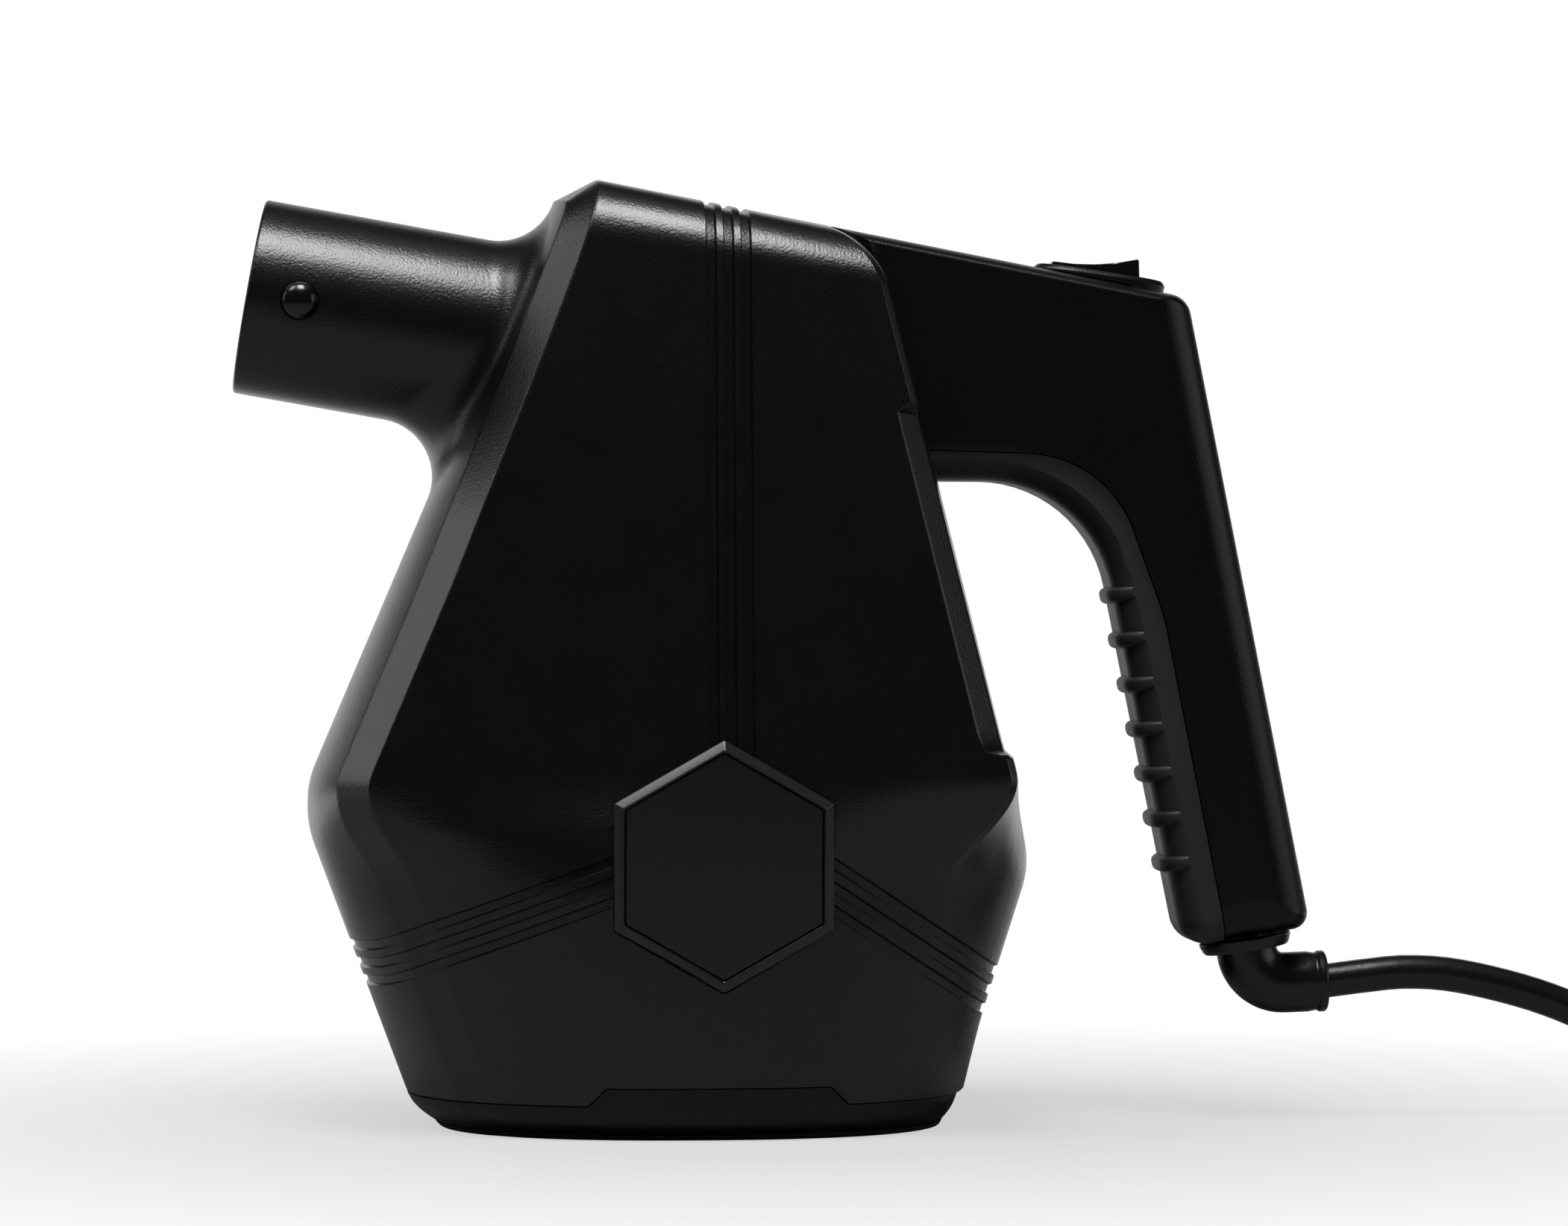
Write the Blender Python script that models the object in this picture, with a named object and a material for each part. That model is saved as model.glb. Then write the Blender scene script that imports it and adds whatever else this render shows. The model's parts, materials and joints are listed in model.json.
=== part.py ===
"""A handheld car dryer blower: two body shells round a two-stage blower motor, a nozzle, a handle with a
rocker switch and a rubber grip, a lift-off intake cover with its filter, and a mains cord wound into a coil.

Lengths are in millimetres and become metres in add_piece. The nozzle points to -X, the handle is at +X,
the body stands on z = 0, and y = 0 is the plane where the two shells meet."""

import math

import bmesh
import bpy
from mathutils import Matrix, Vector

MM = 0.001
GAP = 0.3  # between neighbours that touch on the real object
WALL = 3.0  # thickness of the body shells

# The body's side outline: its front and rear edges in the middle plane, as (x, z, ease). The rear edge has a
# small ledge where the flat strip of the upper body ends.
FRONT_EDGE = [(-94.2, 0, 0), (-123.1, 77, 5), (-123.1, 88.5, 5), (-50.5, 260, 0)]
REAR_EDGE = [(44.4, 0, 0), (51.4, 28, 6), (63.9, 66.5, 6), (57.6, 95.5, 0.5), (55.7, 97, 0.5), (16.4, 260, 0)]
TOP_AT_AXIS = 231.9  # height of the sloping top's sides at x = 0
TOP_SLOPE = 0.1946
TOP_CROWN = 2.9  # how much higher the top is in the middle plane
TILT_FROM = 100.0  # from this height up the sections begin to lean like the top
TOP_ROUND = 8.0
FRONT_ROUND = 0.4  # how far the top's rounding reaches at the front, as a share of TOP_ROUND
TOP_BEVEL = (-48.0, 244.3, 0.543)  # the flat that takes the top down to the front: x, z and slope
# The upper body is faceted: a crowned front, a chamfer, a flat side, a rear chamfer and a crowned rear.
FRONT_CROWN = 8.4
FRONT_CHAMFER = (7.4, 11.0)
REAR_CROWN = 4.0
REAR_CHAMFER = (6.0, 7.0)
SIDE_AT_BELT = 63.0  # half width of the side at the belt, above the badge's centre line
BELT = 77.0
SIDE_LEAN = 0.12
SIDE_LEAN_BELOW = 0.03
SIDE_TURN = 0.09
SIDE_TURN_AT = -27.0
SIDE_CROWN = 0.6
# The lower body is a full oval that the facets run into.
OVAL_POWER = 2.4
OVAL_HALF = (61.0, 5.5)
FACETS_END = 112.0
OVAL_FROM = 22.0
SHELL_FOOT = 9.0

# Nozzle.
NOZZLE_TIP = Vector((-138.1, 0, 213.9))
NOZZLE_TILT = math.radians(10.0)
NOZZLE_R = 25.3
NOZZLE_BORE_R = 22.3
NOZZLE_FILLET = 15.0
PIN_FROM_TIP = 13.7
PIN_R = 4.75
PIN_PROUD = 3.4

# Badge on each side: a raised hexagonal rim round a flat plate.
BADGE_AT = (-18.6, 68.8)
BADGE_R = 31.6
BADGE_RIM = 2.9
BADGE_TILT = math.radians(2.5)
BADGE_FACE = 67.5
BADGE_FLOOR = 63.4

# Intake cover under the body.
COVER_RINGS = [(1.6, 4.4), (3.6, 2.0), (6.0, 0.6), (8.7, 0.0)]  # height and inset
COVER_REAR_STEP = 0.02
COVER_REAR_FULL = 0.0075  # the lower edge is rounded less at the rear
TONGUE = (-47.5, 8.4, 13.2)
TONGUE_RUN = 4.5
SLOTS = 11
SLOT_PITCH = 8.0
SLOT_WIDTH = 3.6

# Motor and fan, on a vertical axis.
MOTOR_X = -26.0
CAN_R = 54.0
SHAFT_R = 4.0
BLADES = 7

# Handle: its side outline as (x, z, corner radius), from the root's top round to its underside.
HANDLE_TOP_AT_AXIS = 234.4
HANDLE = [(12, 232.1, 0), (105.0, 214.0, 6.5), (137.1, 50.4, 4.5), (103.6, 45.0, 7.5), (79.3, 166.2, 34),
          (30, 166.4, 0)]
HANDLE_HALF = 17.0
HANDLE_ROUND = 10.0
HANDLE_WALL = 2.6
RUBBER = 3.0
# Where the rubber grip ends on the handle's side.
GRIP_EDGE = [(20, 174.7, 0), (83, 172.7, 30), (98, 131, 60), (115.5, 42, 0)]
GRIP_AXIS = Vector((0.193, 0, -0.981))
END_AXIS = Vector((0.1591, 0, -0.98726))  # square to the handle's lower end
RIBS = 7
RIB_FIRST = Vector((85.6, 0, 136.6))
RIB_PITCH = 11.86

# Rocker switch on the handle's sloping top.
SWITCH_X = 81.8
ROCKER_TURN = math.radians(12.5)
ROCKER_HALF = 11.4
ROCKER_PIVOT = -2.0

# Cord.
CORD_D = 8.9
COIL_AT = Vector((298.0, 55.0, 0))
COIL_IN = 35.9
COIL_OUT = 72.3
COIL_H = 27.4
CORD_ROUTE = [(142.6, 0, 35.8), (153, 0, 37.1), (163, 0, 38.0), (175, 0, 37.3), (190, 0, 34.1),
              (204, 0, 29.6), (220, -1.2, 22.4), (236, -4.2, 14.0), (247, -6.9, 8.8), (256, -9.0, 6.0)]
TAIL_ROUTE = [(312.0, 2.6, 32.2), (325.2, 8.0, 32.6), (336.6, 16.6, 33.8), (345.6, 27.4, 36.6),
              (350.4, 37.0, 39.6), (351.5, 47.2, 41.0)]
PLUG_AT = Vector((351.5, 47.5, 41.0))


# ---------------------------------------------------------------- helpers

def clear_scene():
    for thing in list(bpy.data.objects):
        bpy.data.objects.remove(thing, do_unlink=True)


def make_material(name, colour, roughness, metallic=0.0):
    material = bpy.data.materials.new(name)
    material.use_nodes = True
    shader = material.node_tree.nodes["Principled BSDF"]
    shader.inputs["Base Color"].default_value = (*colour, 1)
    shader.inputs["Roughness"].default_value = roughness
    shader.inputs["Metallic"].default_value = metallic
    return material


def add_piece(name, points, faces, origin=(0, 0, 0)):
    """A closed piece from points in millimetres, with its faces turned outward."""
    origin = Vector(origin)
    mesh = bpy.data.meshes.new(name)
    mesh.from_pydata([(Vector(p) - origin) * MM for p in points], [], faces)
    bm = bmesh.new()
    bm.from_mesh(mesh)
    bmesh.ops.recalc_face_normals(bm, faces=bm.faces)
    bm.to_mesh(mesh)
    bm.free()
    piece = bpy.data.objects.new(name, mesh)
    piece.location = origin * MM
    bpy.context.scene.collection.objects.link(piece)
    return piece


def boolean(piece, tool, operation):
    """Unites, cuts or intersects piece with tool, applies that and removes the tool."""
    step = piece.modifiers.new(operation.title(), "BOOLEAN")
    step.operation = operation
    step.solver = "EXACT"
    step.object = tool
    bpy.context.view_layer.update()
    graph = bpy.context.evaluated_depsgraph_get()
    result = bpy.data.meshes.new_from_object(piece.evaluated_get(graph))
    piece.modifiers.clear()
    piece.data = result
    bpy.data.objects.remove(tool, do_unlink=True)
    return tidy_mesh(piece)


def tidy_mesh(piece, near=3e-6):
    """Merges points that lie on one another and removes the slivers and loose edges between them."""
    bm = bmesh.new()
    bm.from_mesh(piece.data)
    bmesh.ops.remove_doubles(bm, verts=bm.verts, dist=near)
    bmesh.ops.dissolve_degenerate(bm, edges=bm.edges, dist=near)
    bmesh.ops.delete(bm, geom=[e for e in bm.edges if not e.link_faces], context="EDGES")
    bm.to_mesh(piece.data)
    bm.free()
    return piece


def unite(piece, *tools):
    for tool in tools:
        boolean(piece, tool, "UNION")
    return piece


def cut(piece, *tools):
    for tool in tools:
        boolean(piece, tool, "DIFFERENCE")
    return piece


def keep_inside(piece, tool):
    return boolean(piece, tool, "INTERSECT")


def copy_of(piece, name):
    twin = piece.copy()
    twin.data = piece.data.copy()
    twin.name = name
    bpy.context.scene.collection.objects.link(twin)
    return twin


def finish(piece, material, sharp=30):
    """Gives a finished piece its own material and smooth shading round its curves."""
    piece.data.materials.clear()
    piece.data.materials.append(material)
    piece.data.name = piece.name
    piece.data.shade_smooth()
    piece.data.set_sharp_from_angle(angle=math.radians(sharp))
    return piece


def loft(name, rings, origin=(0, 0, 0), ends=True):
    """A skin through rings of equal count; with ends it is closed by a flat face at each end."""
    count = len(rings[0])
    points = [p for ring in rings for p in ring]
    faces = []
    for k in range(len(rings) - 1 if ends else len(rings)):
        a, b = k * count, (k + 1) % len(rings) * count
        faces += [(a + i, a + (i + 1) % count, b + (i + 1) % count, b + i) for i in range(count)]
    if ends:
        faces.append(tuple(range(count)))
        faces.append(tuple(range(len(points) - count, len(points))))
    return add_piece(name, points, faces, origin=origin)


def frame_of(axis):
    """Two unit vectors square to the axis and to each other."""
    axis = Vector(axis).normalized()
    side = Vector((0, 1, 0)) if abs(axis.y) < 0.9 else Vector((1, 0, 0))
    side = (side - axis * side.dot(axis)).normalized()
    return side, axis.cross(side)


def turned(name, profile, centre=(0, 0, 0), axis=(0, 0, 1), sides=32, origin=None):
    """A turned piece. The profile is a closed outline of (radius, distance along the axis)."""
    u, v = frame_of(axis)
    centre, axis = Vector(centre), Vector(axis).normalized()
    origin = centre if origin is None else origin
    rings = []
    for i in range(sides):
        angle = math.tau * i / sides
        out = u * math.cos(angle) + v * math.sin(angle)
        rings.append([centre + out * max(r, 1e-4) + axis * t for r, t in profile])
    return tidy_mesh(loft(name, rings, origin, ends=False))


def rod(name, centre, axis, radius, length, sides=24, origin=None):
    """A plain cylinder that starts at centre and runs along the axis."""
    u, v = frame_of(axis)
    centre, axis = Vector(centre), Vector(axis).normalized()
    ring = [u * math.cos(a) * radius + v * math.sin(a) * radius for a in
            (math.tau * i / sides for i in range(sides))]
    rings = [[centre + p + axis * t for p in ring] for t in (0, length)]
    return loft(name, rings, centre if origin is None else origin)


def block(name, low, high):
    (x0, y0, z0), (x1, y1, z1) = low, high
    rings = [[(x0, y0, z), (x1, y0, z), (x1, y1, z), (x0, y1, z)] for z in (z0, z1)]
    return loft(name, rings)


def slab(name, outline, y0, y1):
    """An outline of (x, z) pulled from y0 to y1."""
    return loft(name, [[(x, y, z) for x, z in outline] for y in (y0, y1)])


def rounded(corners, steps, open_ends=False):
    """Points along an outline whose corners (x, z, radius) are rounded with arcs."""
    points = []
    last = len(corners) - 1
    for i, (x, z, radius) in enumerate(corners):
        if radius <= 0 or (open_ends and i in (0, last)):
            points.append((x, z))
            continue
        here = Vector((x, z))
        back = (Vector(corners[i - 1][:2]) - here).normalized()
        ahead = (Vector(corners[(i + 1) % len(corners)][:2]) - here).normalized()
        half = math.acos(max(-1, min(1, back.dot(ahead)))) / 2
        centre = here + (back + ahead).normalized() * (radius / math.sin(half))
        start = here + back * (radius / math.tan(half)) - centre
        stop = here + ahead * (radius / math.tan(half)) - centre
        sweep = start.angle_signed(stop)
        for k in range(steps + 1):
            spot = centre + start @ Matrix.Rotation(sweep * k / steps, 2)
            points.append((spot.x, spot.y))
    return points


def offset_corners(corners, inset):
    """The corners of an outline moved inward; rounding follows, smaller outside and larger inside."""
    area = sum(a[0] * b[1] - b[0] * a[1] for a, b in zip(corners, corners[1:] + corners[:1]))
    turn = 1 if area > 0 else -1
    moved = []
    for i, (x, z, radius) in enumerate(corners):
        here = Vector((x, z))
        into = (here - Vector(corners[i - 1][:2])).normalized()
        onto = (Vector(corners[(i + 1) % len(corners)][:2]) - here).normalized()
        n1, n2 = Vector((-into.y, into.x)) * turn, Vector((-onto.y, onto.x)) * turn
        mitre = (n1 + n2) / (1 + n1.dot(n2))
        spot = here + mitre * inset
        convex = (into.x * onto.y - into.y * onto.x) * turn > 0
        grown = radius - inset if convex else radius + inset
        moved.append((spot.x, spot.y, max(grown, 0.4) if radius > 0 else 0))
    return moved


def tube(name, path, radii, sides=16, origin=None):
    """A solid round bar along a path of points, with a radius at each."""
    path = [Vector(p) for p in path]
    rings = []
    side = None
    for i, spot in enumerate(path):
        ahead = (path[min(i + 1, len(path) - 1)] - path[max(i - 1, 0)]).normalized()
        side = frame_of(ahead)[0] if side is None else (side - ahead * side.dot(ahead)).normalized()
        other = ahead.cross(side)
        rings.append([spot + (side * math.cos(math.tau * k / sides) + other * math.sin(math.tau * k / sides))
                      * radii[i] for k in range(sides)])
    return loft(name, rings, path[0] if origin is None else origin)


def smooth_route(points, spacing):
    """Evenly spaced points on a smooth curve through the points of a route."""
    spots = [Vector(p) for p in points]
    spots = [spots[0] * 2 - spots[1]] + spots + [spots[-1] * 2 - spots[-2]]
    fine = []
    for a, b, c, d in zip(spots, spots[1:], spots[2:], spots[3:]):
        for k in range(16):
            t = k / 16
            fine.append(b + (c - a) * (t / 2) + (a * 2 - b * 5 + c * 4 - d) * (t * t / 2)
                        + (b * 3 - a - c * 3 + d) * (t ** 3 / 2))
    fine.append(spots[-2])
    total = sum((q - p).length for p, q in zip(fine, fine[1:]))
    count = max(2, round(total / spacing))
    result, gone, target = [fine[0]], 0.0, 1
    for p, q in zip(fine, fine[1:]):
        step = (q - p).length
        while target < count and gone + step >= total * target / count:
            result.append(p.lerp(q, (total * target / count - gone) / step))
            target += 1
        gone += step
    return result + [fine[-1]]


# ---------------------------------------------------------------- body surface

def edge_curve(corners, steps=6):
    """A side edge from bottom to top, each corner eased over its reach on both sides."""
    points = [Vector(corners[0][:2])]
    for before, here, after in zip(corners, corners[1:], corners[2:]):
        reach = here[2]
        before, here, after = Vector(before[:2]), Vector(here[:2]), Vector(after[:2])
        start = here + (before - here).normalized() * reach
        stop = here + (after - here).normalized() * reach
        for k in range(steps + 1):
            t = k / steps
            points.append(start * (1 - t) ** 2 + here * (2 * t * (1 - t)) + stop * t ** 2)
    return points + [Vector(corners[-1][:2])]


FRONT_CURVE = edge_curve(FRONT_EDGE)
REAR_CURVE = edge_curve(REAR_EDGE)


def edge_x(curve, z):
    for a, b in zip(curve, curve[1:]):
        if z <= b.y or b is curve[-1]:
            return a.x + (b.x - a.x) * (z - a.y) / (b.y - a.y)
    return curve[-1].x


def on_level(curve, level, tilt):
    """Where an edge meets the section that is at this height on the axis and leans by tilt."""
    z = level
    for _ in range(12):
        x = edge_x(curve, z)
        z = level - tilt * x
    return x


def side_half(x, z):
    lean = SIDE_LEAN if z > BELT else SIDE_LEAN_BELOW
    return SIDE_AT_BELT - lean * abs(z - BELT) + SIDE_TURN * (x - SIDE_TURN_AT)


def oval_share(level):
    t = max(0.0, min(1.0, (FACETS_END - level) / (FACETS_END - OVAL_FROM)))
    return t * t * (3 - 2 * t)


def oval_point(x, y, middle, half_x, half_y):
    angle = math.atan2(y, x - middle)
    c, s = math.cos(angle), math.sin(angle)
    reach = (abs(c / half_x) ** OVAL_POWER + abs(s / half_y) ** OVAL_POWER) ** (-1 / OVAL_POWER)
    return middle + reach * c, reach * s


def half_section(level, inset=0.0, front_share=1.0):
    """The section's outline, moved in by inset, from the front middle round a side to the rear middle."""
    tilt = TOP_SLOPE * max(0.0, (level - TILT_FROM) / (TOP_AT_AXIS - TILT_FROM))
    front = on_level(FRONT_CURVE, level, tilt) + inset * front_share
    rear = on_level(REAR_CURVE, level, tilt) - inset
    front_x, front_y = [size * max(0.1, 1 - inset / 15.9) for size in FRONT_CHAMFER]
    rear_x, rear_y = [size * max(0.1, 1 - inset / 11.2) for size in REAR_CHAMFER]
    side_x = front + FRONT_CROWN + front_x
    side_y = side_half(side_x, level - tilt * side_x) - inset
    back_x = rear - REAR_CROWN - rear_x
    back_y = side_half(back_x, level - tilt * back_x) - inset
    outline = [(front + FRONT_CROWN * t * t, (side_y - front_y) * t) for t in (0, 0.35, 0.68, 0.97)]
    outline += [(side_x - front_x * t, side_y - front_y * t) for t in (0.9, 0.1)]
    outline += [(side_x + (back_x - side_x) * t,
                 side_y + (back_y - side_y) * t + SIDE_CROWN * 4 * t * (1 - t))
                for t in (0.015, 0.25, 0.5, 0.75, 0.985)]
    outline += [(back_x + rear_x * t, back_y - rear_y * t) for t in (0.12, 0.88)]
    outline += [(rear - REAR_CROWN * t * t, (back_y - rear_y) * t) for t in (0.97, 0.5, 0)]
    share = oval_share(level)
    middle, half_x = (front + rear) / 2, (rear - front) / 2
    half_y = OVAL_HALF[0] + OVAL_HALF[1] * math.sin(math.pi / 2 * min(1, level / BELT)) - inset
    mixed = []
    for x, y in outline:
        ox, oy = oval_point(x, y, middle, half_x, half_y)
        mixed.append((x + (ox - x) * share, y + (oy - y) * share))
    return mixed, tilt


def body_ring(level, inset=0.0, front_share=1.0, crown=0.0):
    """A closed ring round the body at a level, moved inward by inset and raised toward the middle plane."""
    half, tilt = half_section(level, inset, front_share)
    wide = max(y for x, y in half)
    flat = [(x, -y) for x, y in half] + [(x, y) for x, y in half[-2:0:-1]]
    return [bevelled(x, y, level - tilt * x + crown * (1 - (y / wide) ** 2), inset) for x, y in flat]


def bevelled(x, y, z, inset=0.0):
    """A point of the top, no higher than the flat that slopes down to the front."""
    at, height, slope = TOP_BEVEL
    flat = height - inset * 0.6 + slope * (x - at)
    return Vector((x, y, min(z, flat) if z > height - 20 else z))


def half_width(x, z):
    """How far the body's side is from the middle plane at a place on it."""
    level = z
    for _ in range(4):
        half, tilt = half_section(level)
        level = z + tilt * x
    for (ax, ay), (bx, by) in zip(half, half[1:]):
        if ax <= x <= bx:
            return ay + (by - ay) * (x - ax) / (bx - ax)
    return 0.0


BODY_LEVELS = [SHELL_FOOT, 22, 38, 54, 68, 77, 86, 95.5, 97.2, 112, 190]


def body_solid(name, inset=0.0, foot=SHELL_FOOT):
    """The body as one solid, shrunk by inset, with its rounded top edge and the crowned top."""
    top = TOP_AT_AXIS - inset
    radius = max(TOP_ROUND - inset, 2)
    rings = [body_ring(level, inset) for level in [foot] + BODY_LEVELS[1:]]
    for k in range(4):
        angle = math.pi / 2 * k / 3
        inward = radius * (1 - math.cos(angle))
        share = (inset + FRONT_ROUND * inward) / (inset + inward) if inset + inward else 1.0
        level = top - radius + radius * math.sin(angle)
        rings.append(body_ring(level, inset + inward, share, TOP_CROWN * k / 3))
    return crowned_loft(name, rings, inset)


def crowned_loft(name, rings, inset):
    """A skin through the body's rings, its last ring closed along the middle plane."""
    count = len(rings[0])
    points = [p for ring in rings for p in ring]
    faces = [tuple(range(count))]
    for k in range(len(rings) - 1):
        a, b = k * count, (k + 1) * count
        faces += [(a + i, a + (i + 1) % count, b + (i + 1) % count, b + i) for i in range(count)]
    rim = len(points) - count
    half = count // 2
    ridge = [rim] + [len(points) + i for i in range(half - 1)] + [rim + half]
    middle = rings[-1][half].z + TOP_SLOPE * rings[-1][half].x
    for i in range(1, half):
        x = rings[-1][i].x
        points.append(bevelled(x, 0, middle - TOP_SLOPE * x, inset))
    for i in range(half):
        near, far = (rim + i, rim + i + 1), (rim + (count - i) % count, rim + count - i - 1)
        for a, b in (near, far):
            corners = []
            for spot in (a, b, ridge[i + 1], ridge[i]):
                if spot not in corners:
                    corners.append(spot)
            faces.append(tuple(corners))
    return add_piece(name, points, faces)


# ---------------------------------------------------------------- nozzle

def nozzle_axis():
    return Vector((-math.cos(NOZZLE_TILT), 0, math.sin(NOZZLE_TILT)))


def nozzle_solid(sides=32, steps=4):
    """The nozzle's outside with the fillet that runs onto the crowned front of the body."""
    out = nozzle_axis()
    across, up = frame_of(out)
    (x0, z0, _), (x1, z1, _) = FRONT_EDGE[2:]
    slope = Vector((x1 - x0, 0, z1 - z0)).normalized()
    normal = Vector((-slope.z, 0, slope.x))
    base = Vector((x0, 0, z0))
    half = side_half(-55, NOZZLE_TIP.z) - FRONT_CHAMFER[1]
    depth = FRONT_CROWN * slope.z
    rings = [[] for _ in range(steps + 3)]
    for i in range(sides):
        angle = math.tau * i / sides
        ray = across * math.cos(angle) + up * math.sin(angle)
        centre = NOZZLE_TIP + ray * (NOZZLE_R + NOZZLE_FILLET)
        foot_y = centre.y
        for _ in range(8):
            local = (normal + Vector((0, 2 * depth * foot_y / half ** 2, 0))).normalized()
            foot_y = centre.y - NOZZLE_FILLET * local.y
        height = -depth * (foot_y / half) ** 2 + NOZZLE_FILLET * local.dot(normal)
        centre += out * ((height - (centre - base).dot(normal)) / out.dot(normal))
        rings[0].append(NOZZLE_TIP + ray * NOZZLE_R)
        for k in range(steps + 1):
            aim = (-ray).slerp(-local, k / steps)
            rings[k + 1].append(centre + aim * NOZZLE_FILLET)
        rings[-1].append(centre - local * (NOZZLE_FILLET + 2.5))
    return loft("nozzle", rings)


# ---------------------------------------------------------------- body shells

BODY_SCREWS = [(-98, 62), (44, 62), (-80, 142), (33, 138), (-6, 219)]
HANDLE_SCREWS = [(55, 208), (97, 190), (116.8, 100)]


def bulkhead():
    """The floor that the fan's gasket stands on, with the fan's inlet in it."""
    plate = loft("bulkhead", [body_ring(level, WALL / 2) for level in (20.0, 22.5)])
    return cut(plate, rod("inlet", (MOTOR_X, 0, 10), (0, 0, 1), 44, 30, 40))


def top_rib():
    """The bar across the shells that the motor's upper rubber mount bears on."""
    reach = half_width(MOTOR_X, 162) - WALL / 2
    return block("rib", (MOTOR_X - 9, -reach, 160.3), (MOTOR_X + 9, reach, 163.3))


def root_block(grow):
    """The tongue on the handle's root that passes through the body's rear wall."""
    return slab("root", [(24 - grow, 216 + grow), (43 + grow, 213 + grow), (52 + grow, 178 - grow),
                         (32 - grow, 178 - grow)], -11 - grow, 11 + grow)


def body_casing():
    casing = body_solid("casing")
    unite(casing, nozzle_solid())
    cut(casing, body_solid("hollow", WALL, foot=0))
    bore = rod("bore", NOZZLE_TIP + nozzle_axis() * 5, -nozzle_axis(), NOZZLE_BORE_R, 92, 36)
    cut(casing, bore)
    unite(casing, bulkhead(), top_rib())
    low, high, rise = TONGUE
    notch = [(low - TONGUE_RUN - GAP, -1), (high + TONGUE_RUN + GAP, -1), (high + TONGUE_RUN + GAP, SHELL_FOOT),
             (high + GAP, rise + GAP), (low - GAP, rise + GAP), (low - TONGUE_RUN - GAP, SHELL_FOOT)]
    for side in (-1, 1):
        cut(casing, slab("notch", notch, side * 45, side * 75))
        cut(casing, hexagon("pocket", side, BADGE_R + GAP, BADGE_FLOOR - GAP, BADGE_FACE + 5))
        cut(casing, rod("seat", pin_foot(side), (0, side, 0), PIN_R + GAP, 9, 24))
        cut(casing, rod("hole", pin_foot(side) - Vector((0, side * 9, 0)), (0, side, 0), 2.8, 12, 16))
    return cut(casing, root_block(GAP))


def split(piece, side):
    """Keeps the half on one side of the middle plane, set back by half the gap."""
    mesh = bmesh.new()
    mesh.from_mesh(piece.data)
    bmesh.ops.triangulate(mesh, faces=mesh.faces)
    mesh.to_mesh(piece.data)
    mesh.free()
    edge = side * GAP / 2
    low, high = min(edge, -side * 100), max(edge, -side * 100)
    return cut(piece, block("other_half", (-200, low, -50), (200, high, 300)))


def add_bosses(shell, side, places, reaches, radius, outside):
    """Screw posts that end inside the wall: plain with a pilot hole on the left, counterbored on the right."""
    for (x, z), reach in zip(places, reaches):
        foot = (x, side * GAP / 2, z)
        post = rod("post", foot, (0, side, 0), radius, reach - GAP / 2, 16)
        unite(shell, keep_inside(post, copy_of(outside, "limit")))
        if side < 0:
            cut(shell, rod("pilot", (x, 1, z), (0, side, 0), 1.95, 13, 10))
        else:
            cut(shell, rod("through", (x, -1, z), (0, side, 0), 2.1, 20, 10))
            cut(shell, rod("recess", (x, 6.0, z), (0, side, 0), 3.6, 90, 14))
    return shell


def body_shells(material):
    casing = body_casing()
    limit = body_solid("limit", WALL / 2)
    reaches = [half_width(x, z) - WALL / 2 for x, z in BODY_SCREWS]
    for side, name in ((-1, "body_shell_left"), (1, "body_shell_right")):
        shell = split(copy_of(casing, name), side)
        finish(add_bosses(shell, side, BODY_SCREWS, reaches, 5.0, limit), material)
    for spare in (casing, limit):
        bpy.data.objects.remove(spare, do_unlink=True)


def screws(material):
    """Pan-head screws that close the shells and the handle, all driven from the right side."""
    profile = [(0, -11), (1.65, -11), (1.65, 6.3), (3.2, 6.3), (3.2, 8.3), (0, 8.3)]
    for group, places in (("body_screw", BODY_SCREWS), ("handle_screw", HANDLE_SCREWS)):
        for number, (x, z) in enumerate(places, 1):
            screw = turned(f"{group}_{number}", profile, (x, 0, z), (0, 1, 0), 10)
            slot = block("slot", (x - 2.6, 7.3, z - 0.4), (x + 2.6, 10, z + 0.4))
            finish(cut(screw, slot), material)


# ---------------------------------------------------------------- badges and bayonet pins

def hexagon(name, side, radius, y0, y1, inner=0.0, edge=0.0):
    """A hexagonal plate on the body's side, point up, leaning with the wall; hollow if inner is given."""
    x, z = BADGE_AT
    lean = Matrix.Rotation(-side * BADGE_TILT, 3, "X")

    def ring(r, y):
        spots = [Vector((r * math.sin(math.tau * k / 6), 0, r * math.cos(math.tau * k / 6))) for k in range(6)]
        return [lean @ p + Vector((x, side * y, z)) for p in spots]

    if not inner:
        return loft(name, [ring(radius, y0), ring(radius, y1)])
    rings = [ring(radius, y0), ring(radius, y1 - edge), ring(radius - edge, y1),
             ring(inner + edge, y1), ring(inner, y1 - edge), ring(inner, y0)]
    return loft(name, rings, ends=False)


def badges(rim_material, plate_material):
    for side, name in ((-1, "left"), (1, "right")):
        rim = hexagon(f"badge_rim_{name}", side, BADGE_R, BADGE_FLOOR, BADGE_FACE, BADGE_R - BADGE_RIM, 0.8)
        finish(rim, rim_material)
        plate = hexagon(f"badge_plate_{name}", side, BADGE_R - BADGE_RIM - GAP, BADGE_FLOOR, BADGE_FACE - 1.5)
        finish(plate, plate_material)


def pin_foot(side):
    """The centre of a bayonet pin's seat, on the nozzle's side."""
    return NOZZLE_TIP - nozzle_axis() * PIN_FROM_TIP + Vector((0, side * (NOZZLE_R - 0.9), 0))


def bayonet_pins(material):
    profile = [(0, -2.2), (2.5, -2.2), (2.5, GAP), (PIN_R, GAP), (PIN_R, 1.3)]
    rise = PIN_PROUD + 0.9 - 1.3
    profile += [(PIN_R * math.cos(a), 1.3 + rise * math.sin(a)) for a in (math.pi / 2 * k / 4 for k in range(1, 4))]
    profile.append((0, 1.3 + rise))
    for side, name in ((-1, "bayonet_pin_left"), (1, "bayonet_pin_right")):
        finish(turned(name, profile, pin_foot(side), (0, side, 0), 20), material)


# ---------------------------------------------------------------- intake cover, pad and filter

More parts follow.
